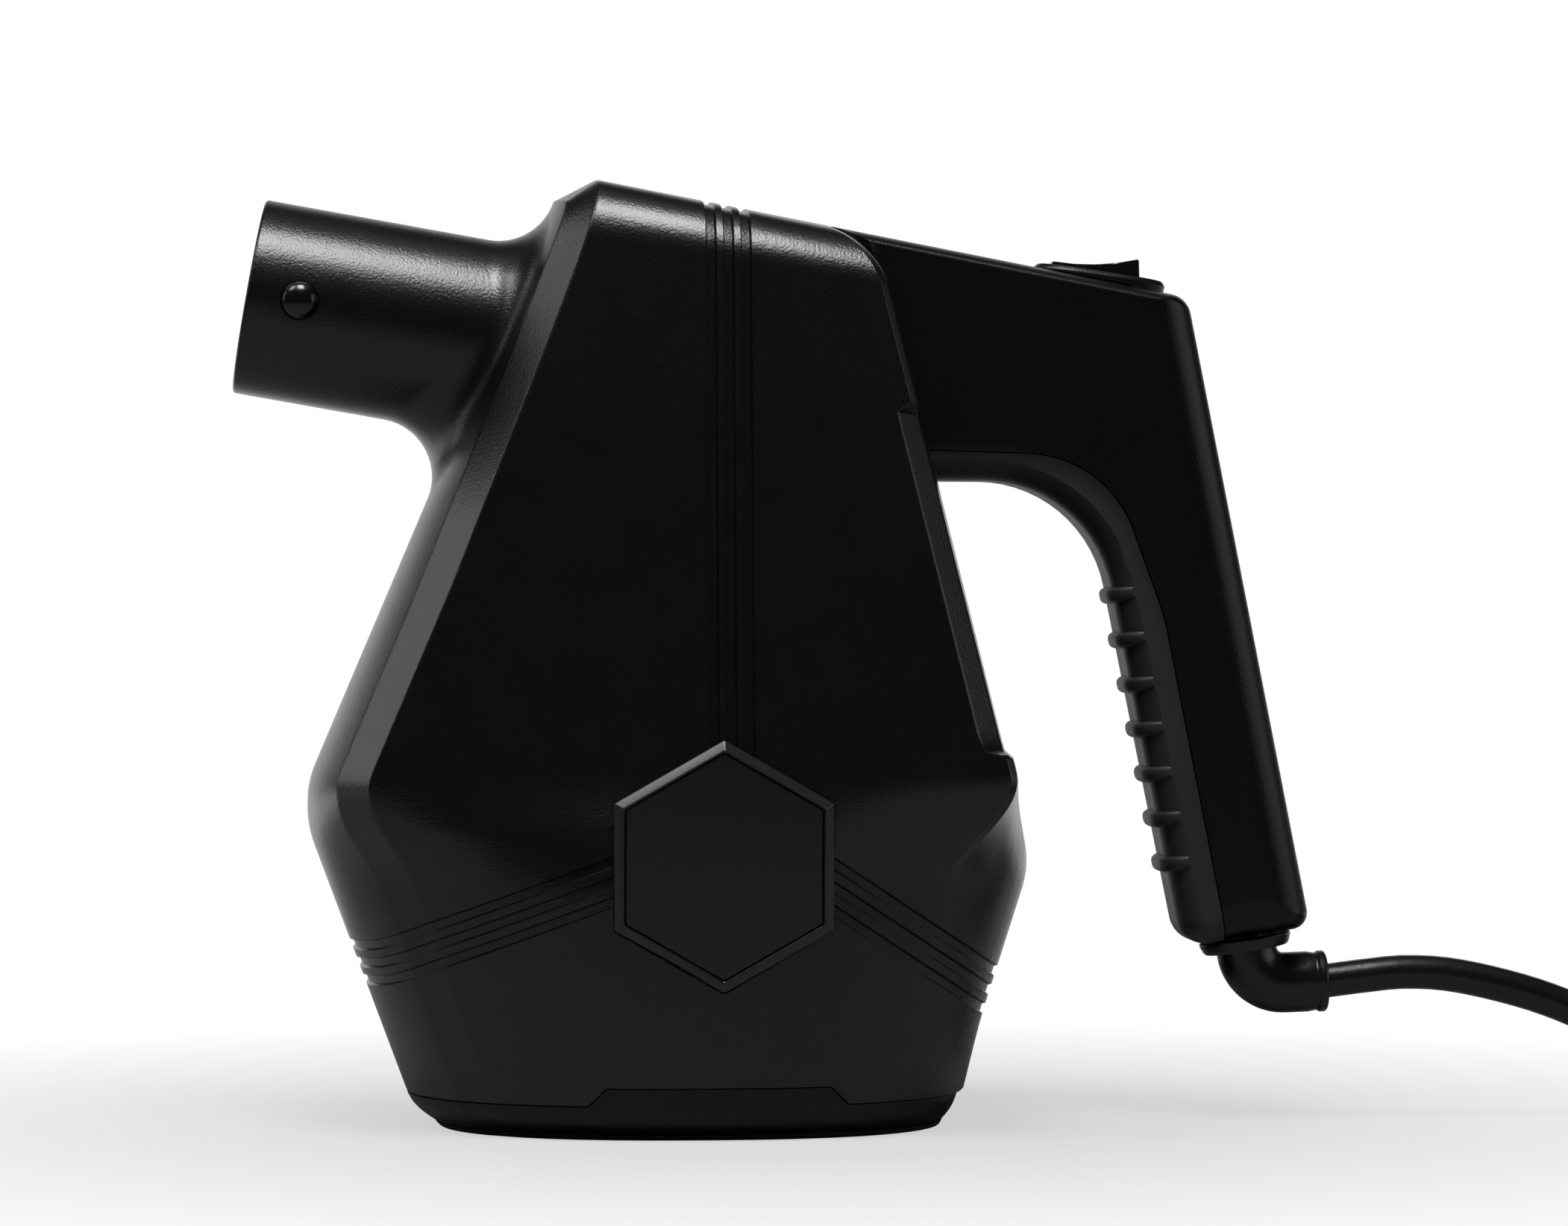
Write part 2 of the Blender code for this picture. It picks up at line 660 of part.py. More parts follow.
def cover_ring(z, inset):
    """A ring of the cover's outside: the body's oval, set in a little at the rear."""
    ring = body_ring(z, inset)
    middle = (ring[0].x + ring[len(ring) // 2].x) / 2
    return [Vector((p.x + max(0, p.x - middle) * (inset * COVER_REAR_FULL - COVER_REAR_STEP), p.y, z))
            for p in ring]


def intake_cover(material):
    cover = loft("intake_cover", [cover_ring(z, inset) for z, inset in COVER_RINGS])
    spigot = loft("spigot", [cover_ring(z, WALL + 0.4) for z in (6.5, 13.0)])
    unite(cover, spigot)
    low, high, rise = TONGUE
    for side in (-1, 1):
        tongue = loft("tongue", [cover_ring(z, 0.05) for z in (7.6, rise)])
        tab = [(low - TONGUE_RUN, 7), (high + TONGUE_RUN, 7), (high + TONGUE_RUN, 8.7), (high, rise),
               (low, rise), (low - TONGUE_RUN, 8.7)]
        keep_inside(tongue, slab("tab", tab, side * 48, side * 75))
        unite(cover, tongue)
    cut(cover, loft("tray", [cover_ring(z, WALL + 2.6) for z in (4.4, 20)]))
    reach = 52.0
    for k in range(SLOTS):
        y = (k - (SLOTS - 1) / 2) * SLOT_PITCH
        run = math.sqrt(reach ** 2 - y ** 2)
        cut(cover, block("slot", (MOTOR_X - run, y - SLOT_WIDTH / 2, -1), (MOTOR_X + run, y + SLOT_WIDTH / 2, 8)))
    return finish(cover, material)


def base_pad(material):
    rings = [cover_ring(z, inset) for z, inset in ((0, 5.2), (1.3, 4.4), (1.3, 10), (0, 10))]
    return finish(loft("base_pad", rings, ends=False), material)


def foam_filter(material):
    return finish(loft("foam_filter", [cover_ring(z, WALL + 3.2) for z in (4.8, 12.5)]), material)


# ---------------------------------------------------------------- fan and motor

def on_axis(name, profile, sides=32):
    return turned(name, profile, (MOTOR_X, 0, 0), (0, 0, 1), sides)


def arc_piece(name, profile, start, stop, steps=8):
    """Part of a turned ring about the motor's axis, between two angles in degrees."""
    rings = []
    for k in range(steps + 1):
        angle = math.radians(start + (stop - start) * k / steps)
        rings.append([Vector((MOTOR_X + r * math.cos(angle), r * math.sin(angle), z)) for r, z in profile])
    return loft(name, rings)


def impeller(name, z, material):
    """A closed fan wheel: back plate with its hub, curved blades and a front ring."""
    wheel = on_axis(name, [(4.3, z + 3), (9, z + 3), (9, z + 10), (48, z + 10), (48, z + 11.4), (9, z + 11.4),
                           (9, z + 13), (4.3, z + 13)], 24)
    ring = on_axis("ring", [(20, z), (48, z), (48, z + 1.2), (20, z + 1.2)], 24)
    for k in range(BLADES):
        sides = ([], [])
        for j in range(4):
            r = 21 + 26.4 * j / 3
            bend = math.tau * (k + 0.5) / BLADES + math.radians(55) * (j / 3) ** 1.2
            for offset, line in ((-0.6, sides[0]), (0.6, sides[1])):
                spin = bend + offset / r
                line.append((MOTOR_X + r * math.cos(spin), r * math.sin(spin)))
        outline = sides[0] + sides[1][::-1]
        unite(wheel, loft("blade", [[(x, y, h) for x, y in outline] for h in (z + 0.6, z + 10.6)]))
    return finish(unite(wheel, ring), material)


def fan_stage(steel, alloy, rubber, plastic):
    finish(on_axis("fan_gasket", [(46, 22.8), (56.5, 22.8), (56.5, 32), (54.3, 32), (54.3, 26.8), (46, 26.8)]), rubber)
    can = on_axis("fan_can", [(21, 27.1), (CAN_R, 27.1), (CAN_R, 70), (52.5, 70), (52.5, 28.6), (21, 28.6)], 40)
    finish(can, steel)
    impeller("impeller_lower", 30.6, alloy)
    impeller("impeller_upper", 49.6, alloy)
    finish(on_axis("diffuser", [(14, 45), (52.2, 45), (52.2, 48), (14, 48)], 40), plastic)


def motor_frame(alloy):
    lower = on_axis("motor_bracket_lower", [(6, 64.5), (52.2, 64.5), (52.2, 67.5), (14.3, 67.5), (14.3, 75.6),
                                            (11.3, 75.6), (11.3, 68), (6, 68)], 28)
    for k in range(6):
        angle = math.tau * (k + 0.5) / 6
        spot = (MOTOR_X + 29 * math.cos(angle), 29 * math.sin(angle), 60)
        cut(lower, rod("air", spot, (0, 0, 1), 7, 12, 10))
    for k in range(4):
        angle = math.tau * (k + 0.5) / 4
        spot = (MOTOR_X + 43 * math.cos(angle), 43 * math.sin(angle), 66)
        unite(lower, rod("post", spot, (0, 0, 1), 2.5, 74.7, 8))
    finish(lower, alloy)
    upper = on_axis("motor_bracket_upper", [(6, 141), (14.5, 141), (14.5, 150), (11.3, 150), (11.3, 143), (6, 143)], 20)
    for k in range(4):
        angle = math.tau * (k + 0.5) / 4
        across = Vector((-math.sin(angle), math.cos(angle), 0)) * 4
        inner, outer = (Vector((MOTOR_X + r * math.cos(angle), r * math.sin(angle), 0)) for r in (12.5, 46.5))
        outline = [inner - across, outer - across, outer + across, inner + across]
        unite(upper, loft("arm", [[p + Vector((0, 0, h)) for p in outline] for h in (141, 144)]))
    finish(upper, alloy)


def motor(steel, copper, alloy, plastic, rubber, carbon):
    motor_frame(alloy)
    finish(on_axis("stator_core", [(31, 84), (40.2, 84), (40.2, 114), (31, 114)], 40), steel)
    field = [(26, 78), (37, 78), (37, 83.6), (30.6, 83.6), (30.6, 114.4), (37, 114.4), (37, 120), (26, 120)]
    finish(arc_piece("field_coil_front", field, 125, 235), copper)
    finish(arc_piece("field_coil_rear", field, -55, 55), copper)
    finish(on_axis("armature", [(4.3, 77), (16, 77), (20, 81), (20, 84), (25.2, 84), (25.2, 114), (20, 114), (20, 118),
                                (14, 122), (4.3, 122)], 20), copper)
    finish(on_axis("commutator", [(4.3, 125), (12, 125), (12, 139), (4.3, 139)], 24), carbon)
    finish(on_axis("motor_shaft", [(0, 31), (SHAFT_R, 31), (SHAFT_R, 151), (0, 151)], 20), steel)
    finish(on_axis("bearing_lower", [(4.3, 68.3), (11, 68.3), (11, 75.3), (4.3, 75.3)], 24), steel)
    finish(on_axis("bearing_upper", [(4.3, 143.3), (11, 143.3), (11, 150), (4.3, 150)], 24), steel)
    for side, name in ((-1, "brush_holder_left"), (1, "brush_holder_right")):
        inner, outer = sorted((side * 12.4, side * 34))
        finish(block(name, (MOTOR_X - 5, inner, 127), (MOTOR_X + 5, outer, 140.7)), plastic)
    mount = [(0, 153), (14.8, 153), (14.8, 145), (18.5, 145), (18.5, 157), (14, 160), (0, 160)]
    finish(on_axis("motor_mount_upper", mount, 24), rubber)


# ---------------------------------------------------------------- handle

def pillow(name, corners, inset=0.0, steps=3, arc=4):
    """A handle outline filled to both sides, with its long edges rounded over."""
    radius = max(HANDLE_ROUND - inset, 2.0)
    half = HANDLE_HALF - inset
    rings = []
    for k in range(steps + 1):
        angle = math.pi / 2 * (1 - k / steps)
        outline = rounded(offset_corners(corners, inset + radius * (1 - math.cos(angle))), arc)
        rings.append([(x, -(half - radius + radius * math.sin(angle)), z) for x, z in outline])
    rings += [[(x, -y, z) for x, y, z in ring] for ring in reversed(rings)]
    return loft(name, rings)


def inner_handle():
    """The handle's outline as its hollow has it: the root ends short of the body, the arch is tighter."""
    return [(29, 228.8, 0)] + HANDLE[1:4] + [(*HANDLE[4][:2], 20), (46, 166.4, 0)]


def grip_zone(name, shift):
    """The part of the handle that the rubber covers, as a slab; shift moves its edge toward the fingers."""
    edge = rounded(GRIP_EDGE, 6, open_ends=True)
    edge = [(x - shift * 0.9, z - shift) for x, z in edge]
    return slab(name, edge + [(20, 20)], -30, 30)


def cord_hole():
    """The round hole in the handle's lower end that the elbow's stem passes through."""
    return rod("cord_hole", elbow_mouth() + END_AXIS * 6, -END_AXIS, 8.4, 16, 20)


def handle_casing():
    casing = pillow("handle", HANDLE)
    cut(casing, grip_zone("zone", 0))
    core = pillow("core", HANDLE, RUBBER + GAP)
    keep_inside(core, grip_zone("zone", -1.5))
    unite(casing, core)
    cut(casing, pillow("hollow", inner_handle(), RUBBER + GAP + HANDLE_WALL - 0.4))
    cut(casing, body_solid("body", -GAP))
    unite(casing, root_block(0))
    cut(casing, rod("lead_hole", (18, 0, 200), (1, 0, -0.15), 4, 50, 12))
    cut(casing, cord_hole())
    return cut(casing, switch_block("opening", (-13.2, -7.7, -9), (13.2, 7.7, 4)))


def handle(material):
    casing = handle_casing()
    limit = pillow("limit", HANDLE, 1.0)
    reaches = [HANDLE_HALF - HANDLE_WALL / 2] * len(HANDLE_SCREWS)
    for side, name in ((-1, "handle_left"), (1, "handle_right")):
        half = split(copy_of(casing, name), side)
        finish(add_bosses(half, side, HANDLE_SCREWS, reaches, 4.4, limit), material)
    for spare in (casing, limit):
        bpy.data.objects.remove(spare, do_unlink=True)


def rib(spot):
    """One finger rib: a thin lens across the grip."""
    across, normal = Vector((0, 1, 0)), Vector((-GRIP_AXIS.z, 0, GRIP_AXIS.x))
    centre = spot + normal * 4.6
    rings = []
    for k in range(1, 6):
        tilt = math.pi * k / 6
        rings.append([centre + across * (13.0 * math.cos(tilt)) + (normal * (7.6 * math.cos(a))
                      + GRIP_AXIS * (1.35 * math.sin(a))) * math.sin(tilt) for a in
                      (math.tau * j / 8 for j in range(8))])
    return loft("rib", rings)


def rubber_grip(material):
    grip = pillow("rubber_grip", HANDLE)
    unite(grip, *(rib(RIB_FIRST + GRIP_AXIS * (k * RIB_PITCH)) for k in range(RIBS)))
    keep_inside(grip, grip_zone("zone", GAP))
    cut(grip, pillow("core", HANDLE, RUBBER))
    cut(grip, body_solid("body", -GAP))
    cut(grip, cord_hole())
    return finish(grip, material)


# ---------------------------------------------------------------- switch

def switch_frame():
    """The switch's own directions, along and square to the handle's sloping top, and its centre."""
    along = Vector((1, 0, -TOP_SLOPE)).normalized()
    up = Vector((-along.z, 0, along.x))
    return along, up, Vector((SWITCH_X, 0, HANDLE_TOP_AT_AXIS - TOP_SLOPE * SWITCH_X))


def switch_block(name, low, high):
    """A block in the switch's directions: along, across and up."""
    along, up, seat = switch_frame()
    across = Vector((0, 1, 0))
    flat = [(low[0], low[1]), (high[0], low[1]), (high[0], high[1]), (low[0], high[1])]
    return loft(name, [[seat + along * a + across * b + up * h for a, b in flat] for h in (low[2], high[2])])


def soft_cos(angle, power=0.7):
    """A cosine that makes an oval squarer than an ellipse."""
    return math.copysign(abs(math.cos(angle)) ** power, math.cos(angle))


def rocker_pivot():
    along, up, seat = switch_frame()
    return seat + up * ROCKER_PIVOT


def switch(bezel_material, body_material, rocker_material):
    along, up, seat = switch_frame()
    across = Vector((0, 1, 0))

    def oval(half_long, half_wide, h, rise=0.0):
        spots = []
        for k in range(28):
            a = math.tau * k / 28
            run = half_long * soft_cos(a)
            spots.append(seat + along * (run + 0.6) + across * (half_wide * soft_cos(a - math.pi / 2))
                         + up * (h + rise * run))
        return spots

    bezel = loft("switch_bezel", [oval(17.3, 9.8, GAP), oval(17.3, 9.8, 1.3, 0.045), oval(16.2, 8.9, 2.4, 0.045)])
    cut(bezel, switch_block("window", (-13.0, -6.1, -3), (13.0, 6.1, 6)))
    finish(bezel, bezel_material)
    body = switch_block("switch_body", (-12.9, -7.4, -21), (12.9, 7.4, 0))
    cut(body, switch_block("well", (-14, -6.0, -8.6), (14, 6.0, 6)))
    finish(body, body_material)
    outline = [(-ROCKER_HALF, 7.3), (-5.7, 5.3), (0, 4.6), (5.7, 5.3), (ROCKER_HALF, 7.3), (ROCKER_HALF, 2.2),
               (6, -3), (0, -3.8), (-6, -3), (-ROCKER_HALF, 2.2)]
    pivot = rocker_pivot()
    turn = Matrix.Rotation(-ROCKER_TURN, 3, "Y")
    ring = [turn @ (along * a + up * h) for a, h in outline]
    rings = [[pivot + p + across * y for p in ring] for y in (-5.7, 5.7)]
    finish(loft("rocker", rings, origin=pivot), rocker_material)


# ---------------------------------------------------------------- cord, elbow and plug

def elbow_mouth():
    """Where the elbow's collar meets the handle's lower end."""
    (x0, z0, _), (x1, z1, _) = HANDLE[2:4]
    x = 120.9
    return Vector((x, 0, z1 + (z0 - z1) * (x - x1) / (x0 - x1)))


def cord_elbow(material):
    """The rubber elbow under the handle: a collar, a tight bend and a sleeve round the cord."""
    start = elbow_mouth()
    bend, radius, count = 9.5, 7.9, 6
    turn_from, turn_to = math.atan2(GRIP_AXIS.z, GRIP_AXIS.x), math.radians(2)
    centre = Vector((131.0, 0, 44.9))
    path = [start - GRIP_AXIS * 5]
    for k in range(count + 1):
        angle = turn_from + (turn_to - turn_from) * k / count - math.pi / 2
        path.append(centre + Vector((math.cos(angle), 0, math.sin(angle))) * bend)
    path.append(path[-1] + Vector((math.cos(turn_to), 0, math.sin(turn_to))) * 10.9)
    elbow = tube("cord_elbow", path, [radius] * len(path), 16)
    collar = turned("collar", [(0, GAP), (12.0, GAP), (12.0, 1.3), (11.0, 3.7), (0, 3.7)], start, END_AXIS, 24)
    unite(elbow, collar)
    tip = path[-1]
    ahead = (path[-1] - path[-2]).normalized()
    return finish(cut(elbow, rod("mouth", tip - ahead * 8, ahead, CORD_D / 2 + 0.4, 12, 16)), material)


def cord_curve(name, route, material):
    curve = bpy.data.curves.new(name, "CURVE")
    curve.dimensions = "3D"
    curve.bevel_depth = CORD_D / 2 * MM
    curve.bevel_resolution = 3
    curve.use_fill_caps = True
    points = smooth_route(route, 2.0 * CORD_D)
    spline = curve.splines.new("POLY")
    spline.points.add(len(points) - 1)
    for slot, spot in zip(spline.points, points):
        slot.co = (*(spot * MM), 1)
    piece = bpy.data.objects.new(name, curve)
    bpy.context.scene.collection.objects.link(piece)
    curve.materials.append(material)
    return piece


def cord(rubber, strap, plug_material, brass):
    cord_curve("power_cord", CORD_ROUTE, rubber)
    cord_curve("cord_tail", TAIL_ROUTE, rubber)
    profile = [(COIL_IN, 0), (COIL_OUT, 0), (COIL_OUT, COIL_H), (COIL_IN, COIL_H)]
    finish(turned("cord_coil", profile, COIL_AT, (0, 0, 1), 48), rubber)
    plug(plug_material, brass)
    coil_tie(strap)


def coil_tie(material):
    """The strap round the coil's turns, on the side away from the plug."""
    half_width = 6.0
    x0, x1 = COIL_AT.x - COIL_OUT, COIL_AT.x - math.sqrt(COIL_IN ** 2 - half_width ** 2) + 0.1
    low, high, skin = 0.0, COIL_H, 1.2
    outer = [(x0 - GAP - skin, low), (x1 + GAP + skin, low), (x1 + GAP + skin, high + GAP + skin),
             (x0 - GAP - skin, high + GAP + skin)]
    inner = [(x0 - GAP, low), (x1 + GAP, low), (x1 + GAP, high + GAP), (x0 - GAP, high + GAP)]
    outline = [outer[0], inner[0], inner[3], inner[2], inner[1], outer[1], outer[2], outer[3]]
    return finish(slab("coil_tie", outline, COIL_AT.y - half_width, COIL_AT.y + half_width), material)


def plug(material, brass):
    """A moulded three-pin plug that lies on the coil, its pins pointing to +Y."""

    def ring(y, half_x, half_z):
        return [PLUG_AT + Vector((half_x * soft_cos(a), y, half_z * soft_cos(a - math.pi / 2)))
                for a in (math.tau * k / 16 for k in range(16))]

    sizes = [(0, 5.2, 5.2), (4, 5.6, 5.6), (22, 7.2, 7.2), (26, 12.0, 10.8), (34, 14.5, 12.8), (52, 15.5, 13.2),
             (54, 14.9, 12.6)]
    body = loft("plug_body", [ring(*size) for size in sizes])
    face = PLUG_AT + Vector((0, 54, 0))
    for name, dx in (("plug_blade_left", -6.35), ("plug_blade_right", 6.35)):
        low, high = face + Vector((dx - 0.75, -5, -0.5)), face + Vector((dx + 0.75, 17, 5.85))
        edge = Vector((GAP, GAP, GAP))
        cut(body, block("slot", low - edge, high + edge))
        finish(block(name, low, high), brass)
    cut(body, rod("bore", face + Vector((0, -5 - GAP, -6.0)), (0, 1, 0), 2.4 + GAP, 20, 12))
    pin = [(0, -5), (2.4, -5), (2.4, 18.5), (1.2, 20.5), (0, 20.5)]
    finish(turned("plug_ground_pin", pin, face + Vector((0, 0, -6.0)), (0, 1, 0), 12), brass)
    finish(cut(body, rod("cord_seat", PLUG_AT - Vector((0, 1, 0)), (0, 1, 0), CORD_D / 2 + GAP, 4, 16)), material)


def inner_leads(material):
    """The cord inside the grip up to the switch, and the lead from the switch into the body."""
    supply = [(118.6, 0, 60), (112.4, 0, 78), (104.8, 0, 108), (100.5, 0, 142), (92, 0, 168), (83.5, 0, 190)]
    motor_lead = [(71, 0, 190), (60, 0, 192), (48, 0, 195.6), (34, 0, 197.8), (16, 0, 197), (2, 0, 186),
                  (-2, 0, 172)]
    for name, route, radius in (("supply_lead", supply, 4.2), ("motor_lead", motor_lead, 2.6)):
        path = smooth_route(route, 9)
        finish(tube(name, path, [radius] * len(path), 10), material)


# ---------------------------------------------------------------- the whole dryer

def build():
    clear_scene()
    shell = make_material("black shell plastic", (0.022, 0.022, 0.024), 0.42)
    casing = make_material("black handle plastic", (0.012, 0.012, 0.013), 0.48)
    gloss = make_material("gloss black plastic", (0.015, 0.015, 0.016), 0.18)
    trim = make_material("dark grey trim", (0.045, 0.046, 0.048), 0.38)
    rubber = make_material("black rubber", (0.03, 0.03, 0.031), 0.7)
    foam = make_material("grey foam", (0.08, 0.08, 0.085), 0.95)
    steel = make_material("steel", (0.55, 0.55, 0.56), 0.35, 1)
    alloy = make_material("cast aluminium", (0.7, 0.7, 0.71), 0.45, 1)
    copper = make_material("copper winding", (0.72, 0.33, 0.16), 0.4, 1)
    brass = make_material("plug brass", (0.78, 0.62, 0.32), 0.3, 1)
    inner = make_material("natural plastic", (0.5, 0.48, 0.43), 0.55)
    body_shells(shell)
    screws(steel)
    badges(trim, gloss)
    bayonet_pins(gloss)
    intake_cover(casing)
    base_pad(rubber)
    foam_filter(foam)
    fan_stage(steel, alloy, rubber, inner)
    motor(steel, copper, alloy, inner, rubber, brass)
    handle(casing)
    rubber_grip(rubber)
    switch(casing, inner, gloss)
    cord_elbow(rubber)
    inner_leads(rubber)
    cord(rubber, casing, rubber, brass)


build()
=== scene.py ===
"""Looks of the car dryer blower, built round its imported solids: the shells with their grooves, the nozzle and
its fillet, badges, handle, ribbed rubber grip, rocker switch, intake cover, cord and plug, as fine meshes.

Lengths are in millimetres and become metres where a mesh is made. Camera, lights, floor and materials are in
metres from the start. The nozzle points to -X, the handle is at +X, the floor is z = 0, and the two shells
meet at y = 0."""

import json
import math

import bmesh
import bpy
from mathutils import Matrix, Vector


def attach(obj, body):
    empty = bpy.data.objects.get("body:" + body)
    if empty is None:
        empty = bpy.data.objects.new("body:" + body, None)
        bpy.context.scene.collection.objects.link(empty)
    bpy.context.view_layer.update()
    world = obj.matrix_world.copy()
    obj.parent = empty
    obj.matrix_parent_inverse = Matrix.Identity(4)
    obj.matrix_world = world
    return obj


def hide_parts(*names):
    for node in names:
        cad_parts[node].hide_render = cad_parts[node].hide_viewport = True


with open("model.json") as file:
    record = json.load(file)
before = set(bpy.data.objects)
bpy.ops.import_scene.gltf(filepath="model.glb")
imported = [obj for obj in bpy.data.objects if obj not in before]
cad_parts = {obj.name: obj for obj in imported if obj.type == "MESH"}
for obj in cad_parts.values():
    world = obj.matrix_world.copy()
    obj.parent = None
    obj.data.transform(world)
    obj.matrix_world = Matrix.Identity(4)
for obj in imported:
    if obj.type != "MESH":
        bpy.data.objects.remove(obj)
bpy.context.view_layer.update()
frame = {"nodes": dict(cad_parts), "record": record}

MM = 0.001
GAP = 0.3  # room between pieces that meet
SIDES = ((-1, "left"), (1, "right"))
SAME_SPOT = 1e-7  # metres within which two points are one
SOFT_POWER = 0.7  # how much squarer than an ellipse a soft oval is
WHITE = (1, 1, 1, 1)

# The camera stands level, a little to the nozzle's side.
CAMERA_AT = Vector((-0.094, -1.497, 0.132))
CAMERA_AIM = Vector((0.0004, 0.0, 0.132))
FRAME_WIDTH = 0.4078  # across the picture at the object's middle plane


# ---- helpers

def link(name, data):
    thing = bpy.data.objects.new(name, data)
    bpy.context.scene.collection.objects.link(thing)
    return thing


def shares(steps):
    """Even shares from 0 to 1."""
    return [k / steps for k in range(steps + 1)]


def ease(t):
    """A share from 0 to 1 that starts and stops gently."""
    t = max(0.0, min(1.0, t))
    return t * t * (3 - 2 * t)


def mirrored(v):
    return Vector((v.x, -v.y, v.z))


# ---- materials

def feed(tree, node, values):
    """Sets a node's inputs, each to a constant or to the output that feeds it."""
    for socket, value in values.items():
        if isinstance(value, bpy.types.NodeSocket):
            tree.links.new(value, node.inputs[socket])
        else:
            node.inputs[socket].default_value = value


def add_node(tree, kind, values, **settings):
    made = tree.nodes.new("ShaderNode" + kind)
    for key, value in settings.items():
        setattr(made, key, value)
    feed(tree, made, values)
    return made


class Shader:
    """A Principled material with short calls for its nodes."""

    def __init__(self, name, colour, roughness, metallic=0.0, specular=0.5):
        self.material = bpy.data.materials.new(name)
        self.material.use_nodes = True
        self.tree = self.material.node_tree
        self.shader = self.tree.nodes["Principled BSDF"]
        feed(self.tree, self.shader, {"Base Color": (*colour, 1), "Roughness": roughness,
                                      "Metallic": metallic, "Specular IOR Level": specular})
        self.place = self.node("TexCoord", {}).outputs["Object"]

    def node(self, kind, values, **settings):
        return add_node(self.tree, kind, values, **settings)

    def set(self, socket, value):
        self.tree.links.new(value, self.shader.inputs[socket])

    def noise(self, per_metre, detail, roughness=0.5, stretch=None):
        """A noise value over the object, with about this many cells in a metre."""
        place = self.place
        if stretch:
            place = self.node("Mapping", {"Vector": place, "Scale": stretch}).outputs["Vector"]
        return self.node("TexNoise", {"Vector": place, "Scale": per_metre, "Detail": detail,
                                      "Roughness": roughness}).outputs["Fac"]

    def spread(self, value, low, high, start=0.3, stop=0.7):
        """The value mapped from start..stop to low..high."""
        return self.node("MapRange", {"Value": value, "From Min": start, "From Max": stop, "To Min": low,
                                      "To Max": high}).outputs["Result"]

    def blend(self, value, first, second):
        """A colour between two, as the value goes from 0 to 1."""
        made = self.node("ValToRGB", {"Fac": value})
        made.color_ramp.elements[0].color = (*first, 1)
        made.color_ramp.elements[1].color = (*second, 1)
        return made.outputs["Color"]

    def bump(self, value, depth):
        """A relief of this depth in metres from a value of 0 to 1."""
        self.set("Normal", self.node("Bump", {"Height": value, "Distance": depth}).outputs["Normal"])


# Cells in a metre of each pattern.
CLOUDS, MARKS, DRAWN_MARKS, FOAM_CELLS = 28, 60, 700, 900


def moulded(name, dark, light, roughness, grain=1700, depth=0.00004, specular=0.5):
    """Black moulding with a fine spark-eroded grain, this many to the metre, and faint marks of handling."""
    made = Shader(name, dark, roughness, specular=specular)
    made.set("Base Color", made.blend(made.spread(made.noise(CLOUDS, 3), 0, 1), dark, light))
    made.set("Roughness", made.spread(made.noise(MARKS, 4), roughness - 0.015, roughness + 0.02))
    made.bump(made.noise(grain, 2, 0.6), depth)
    return made.material


def bright(name, colour, roughness, stretch=(1, 1, 30)):
    """Metal with a faint drawn grain."""
    made = Shader(name, colour, roughness, 1.0)
    marks = made.noise(DRAWN_MARKS, 2, stretch=stretch)
    made.set("Roughness", made.spread(marks, roughness - 0.08, roughness + 0.1))
    made.bump(marks, 0.00001)
    return made.material


def foam(name, dark, light):
    made = Shader(name, dark, 0.95)
    cells = made.node("TexVoronoi", {"Vector": made.place, "Scale": FOAM_CELLS}).outputs["Distance"]
    made.set("Base Color", made.blend(cells, dark, light))
    made.bump(cells, 0.0006)
    return made.material


BODY_BLACK = moulded("body moulding", (0.002, 0.0022, 0.0023), (0.0027, 0.0029, 0.003), 0.27, 1400, 0.00009)
HANDLE_BLACK = moulded("handle moulding", (0.0014, 0.0015, 0.0017), (0.0021, 0.0023, 0.0025), 0.33, 1400,
                       0.00008, 0.3)
GLOSS_BLACK = moulded("gloss moulding", (0.002, 0.0022, 0.0023), (0.003, 0.0032, 0.0033), 0.2, 900, 0.000004)
RIM_BLACK = moulded("badge rim moulding", (0.009, 0.0098, 0.0098), (0.012, 0.013, 0.013), 0.3)
RUBBER = moulded("rubber", (0.014, 0.0147, 0.0147), (0.022, 0.023, 0.023), 0.52, 1500, 0.00006)
CORD_RUBBER = moulded("cord rubber", (0.003, 0.0031, 0.0033), (0.0048, 0.005, 0.0052), 0.3, 420, 0.00008)
STRAP = moulded("strap plastic", (0.01, 0.01, 0.011), (0.016, 0.016, 0.017), 0.5)
NATURAL = moulded("natural plastic", (0.42, 0.4, 0.34), (0.55, 0.52, 0.46), 0.5)
FOAM = foam("filter foam", (0.02, 0.02, 0.022), (0.16, 0.16, 0.17))
STEEL = bright("zinc steel", (0.56, 0.57, 0.58), 0.32)
PLATES = bright("plate stack", (0.3, 0.3, 0.31), 0.42, (1, 1, 60))
ALLOY = bright("cast alloy", (0.68, 0.69, 0.7), 0.48, (1, 1, 1))
COPPER = bright("winding", (0.7, 0.3, 0.13), 0.36, (60, 1, 1))
BRASS = bright("contact brass", (0.78, 0.6, 0.3), 0.26, (30, 1, 1))

LOOKS = {
    "body_plastic": BODY_BLACK, "handle_plastic": HANDLE_BLACK, "gloss_plastic": GLOSS_BLACK,
    "rim_plastic": RIM_BLACK, "grip_rubber": RUBBER, "pad_rubber": RUBBER, "mount_rubber": RUBBER,
    "cord_rubber": CORD_RUBBER, "filter_foam": FOAM, "steel": STEEL, "laminations": PLATES,
    "cast_alloy": ALLOY, "impeller_alloy": ALLOY, "winding": COPPER, "contact_brass": BRASS,
    "natural_plastic": NATURAL, "strap_plastic": STRAP,
}

SLOT_OF = {row["node"]: row["material_slot"] for row in frame["record"]["subparts"]}
BODY_OF = {node: body for body, nodes in frame["record"]["behaviour"]["bodies"].items() for node in nodes}


def dress_nodes():
    """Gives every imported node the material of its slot."""
    for node, slot in SLOT_OF.items():
        mesh = frame["nodes"][node].data
        mesh.materials.clear()
        mesh.materials.append(LOOKS[slot])


# ---- solids

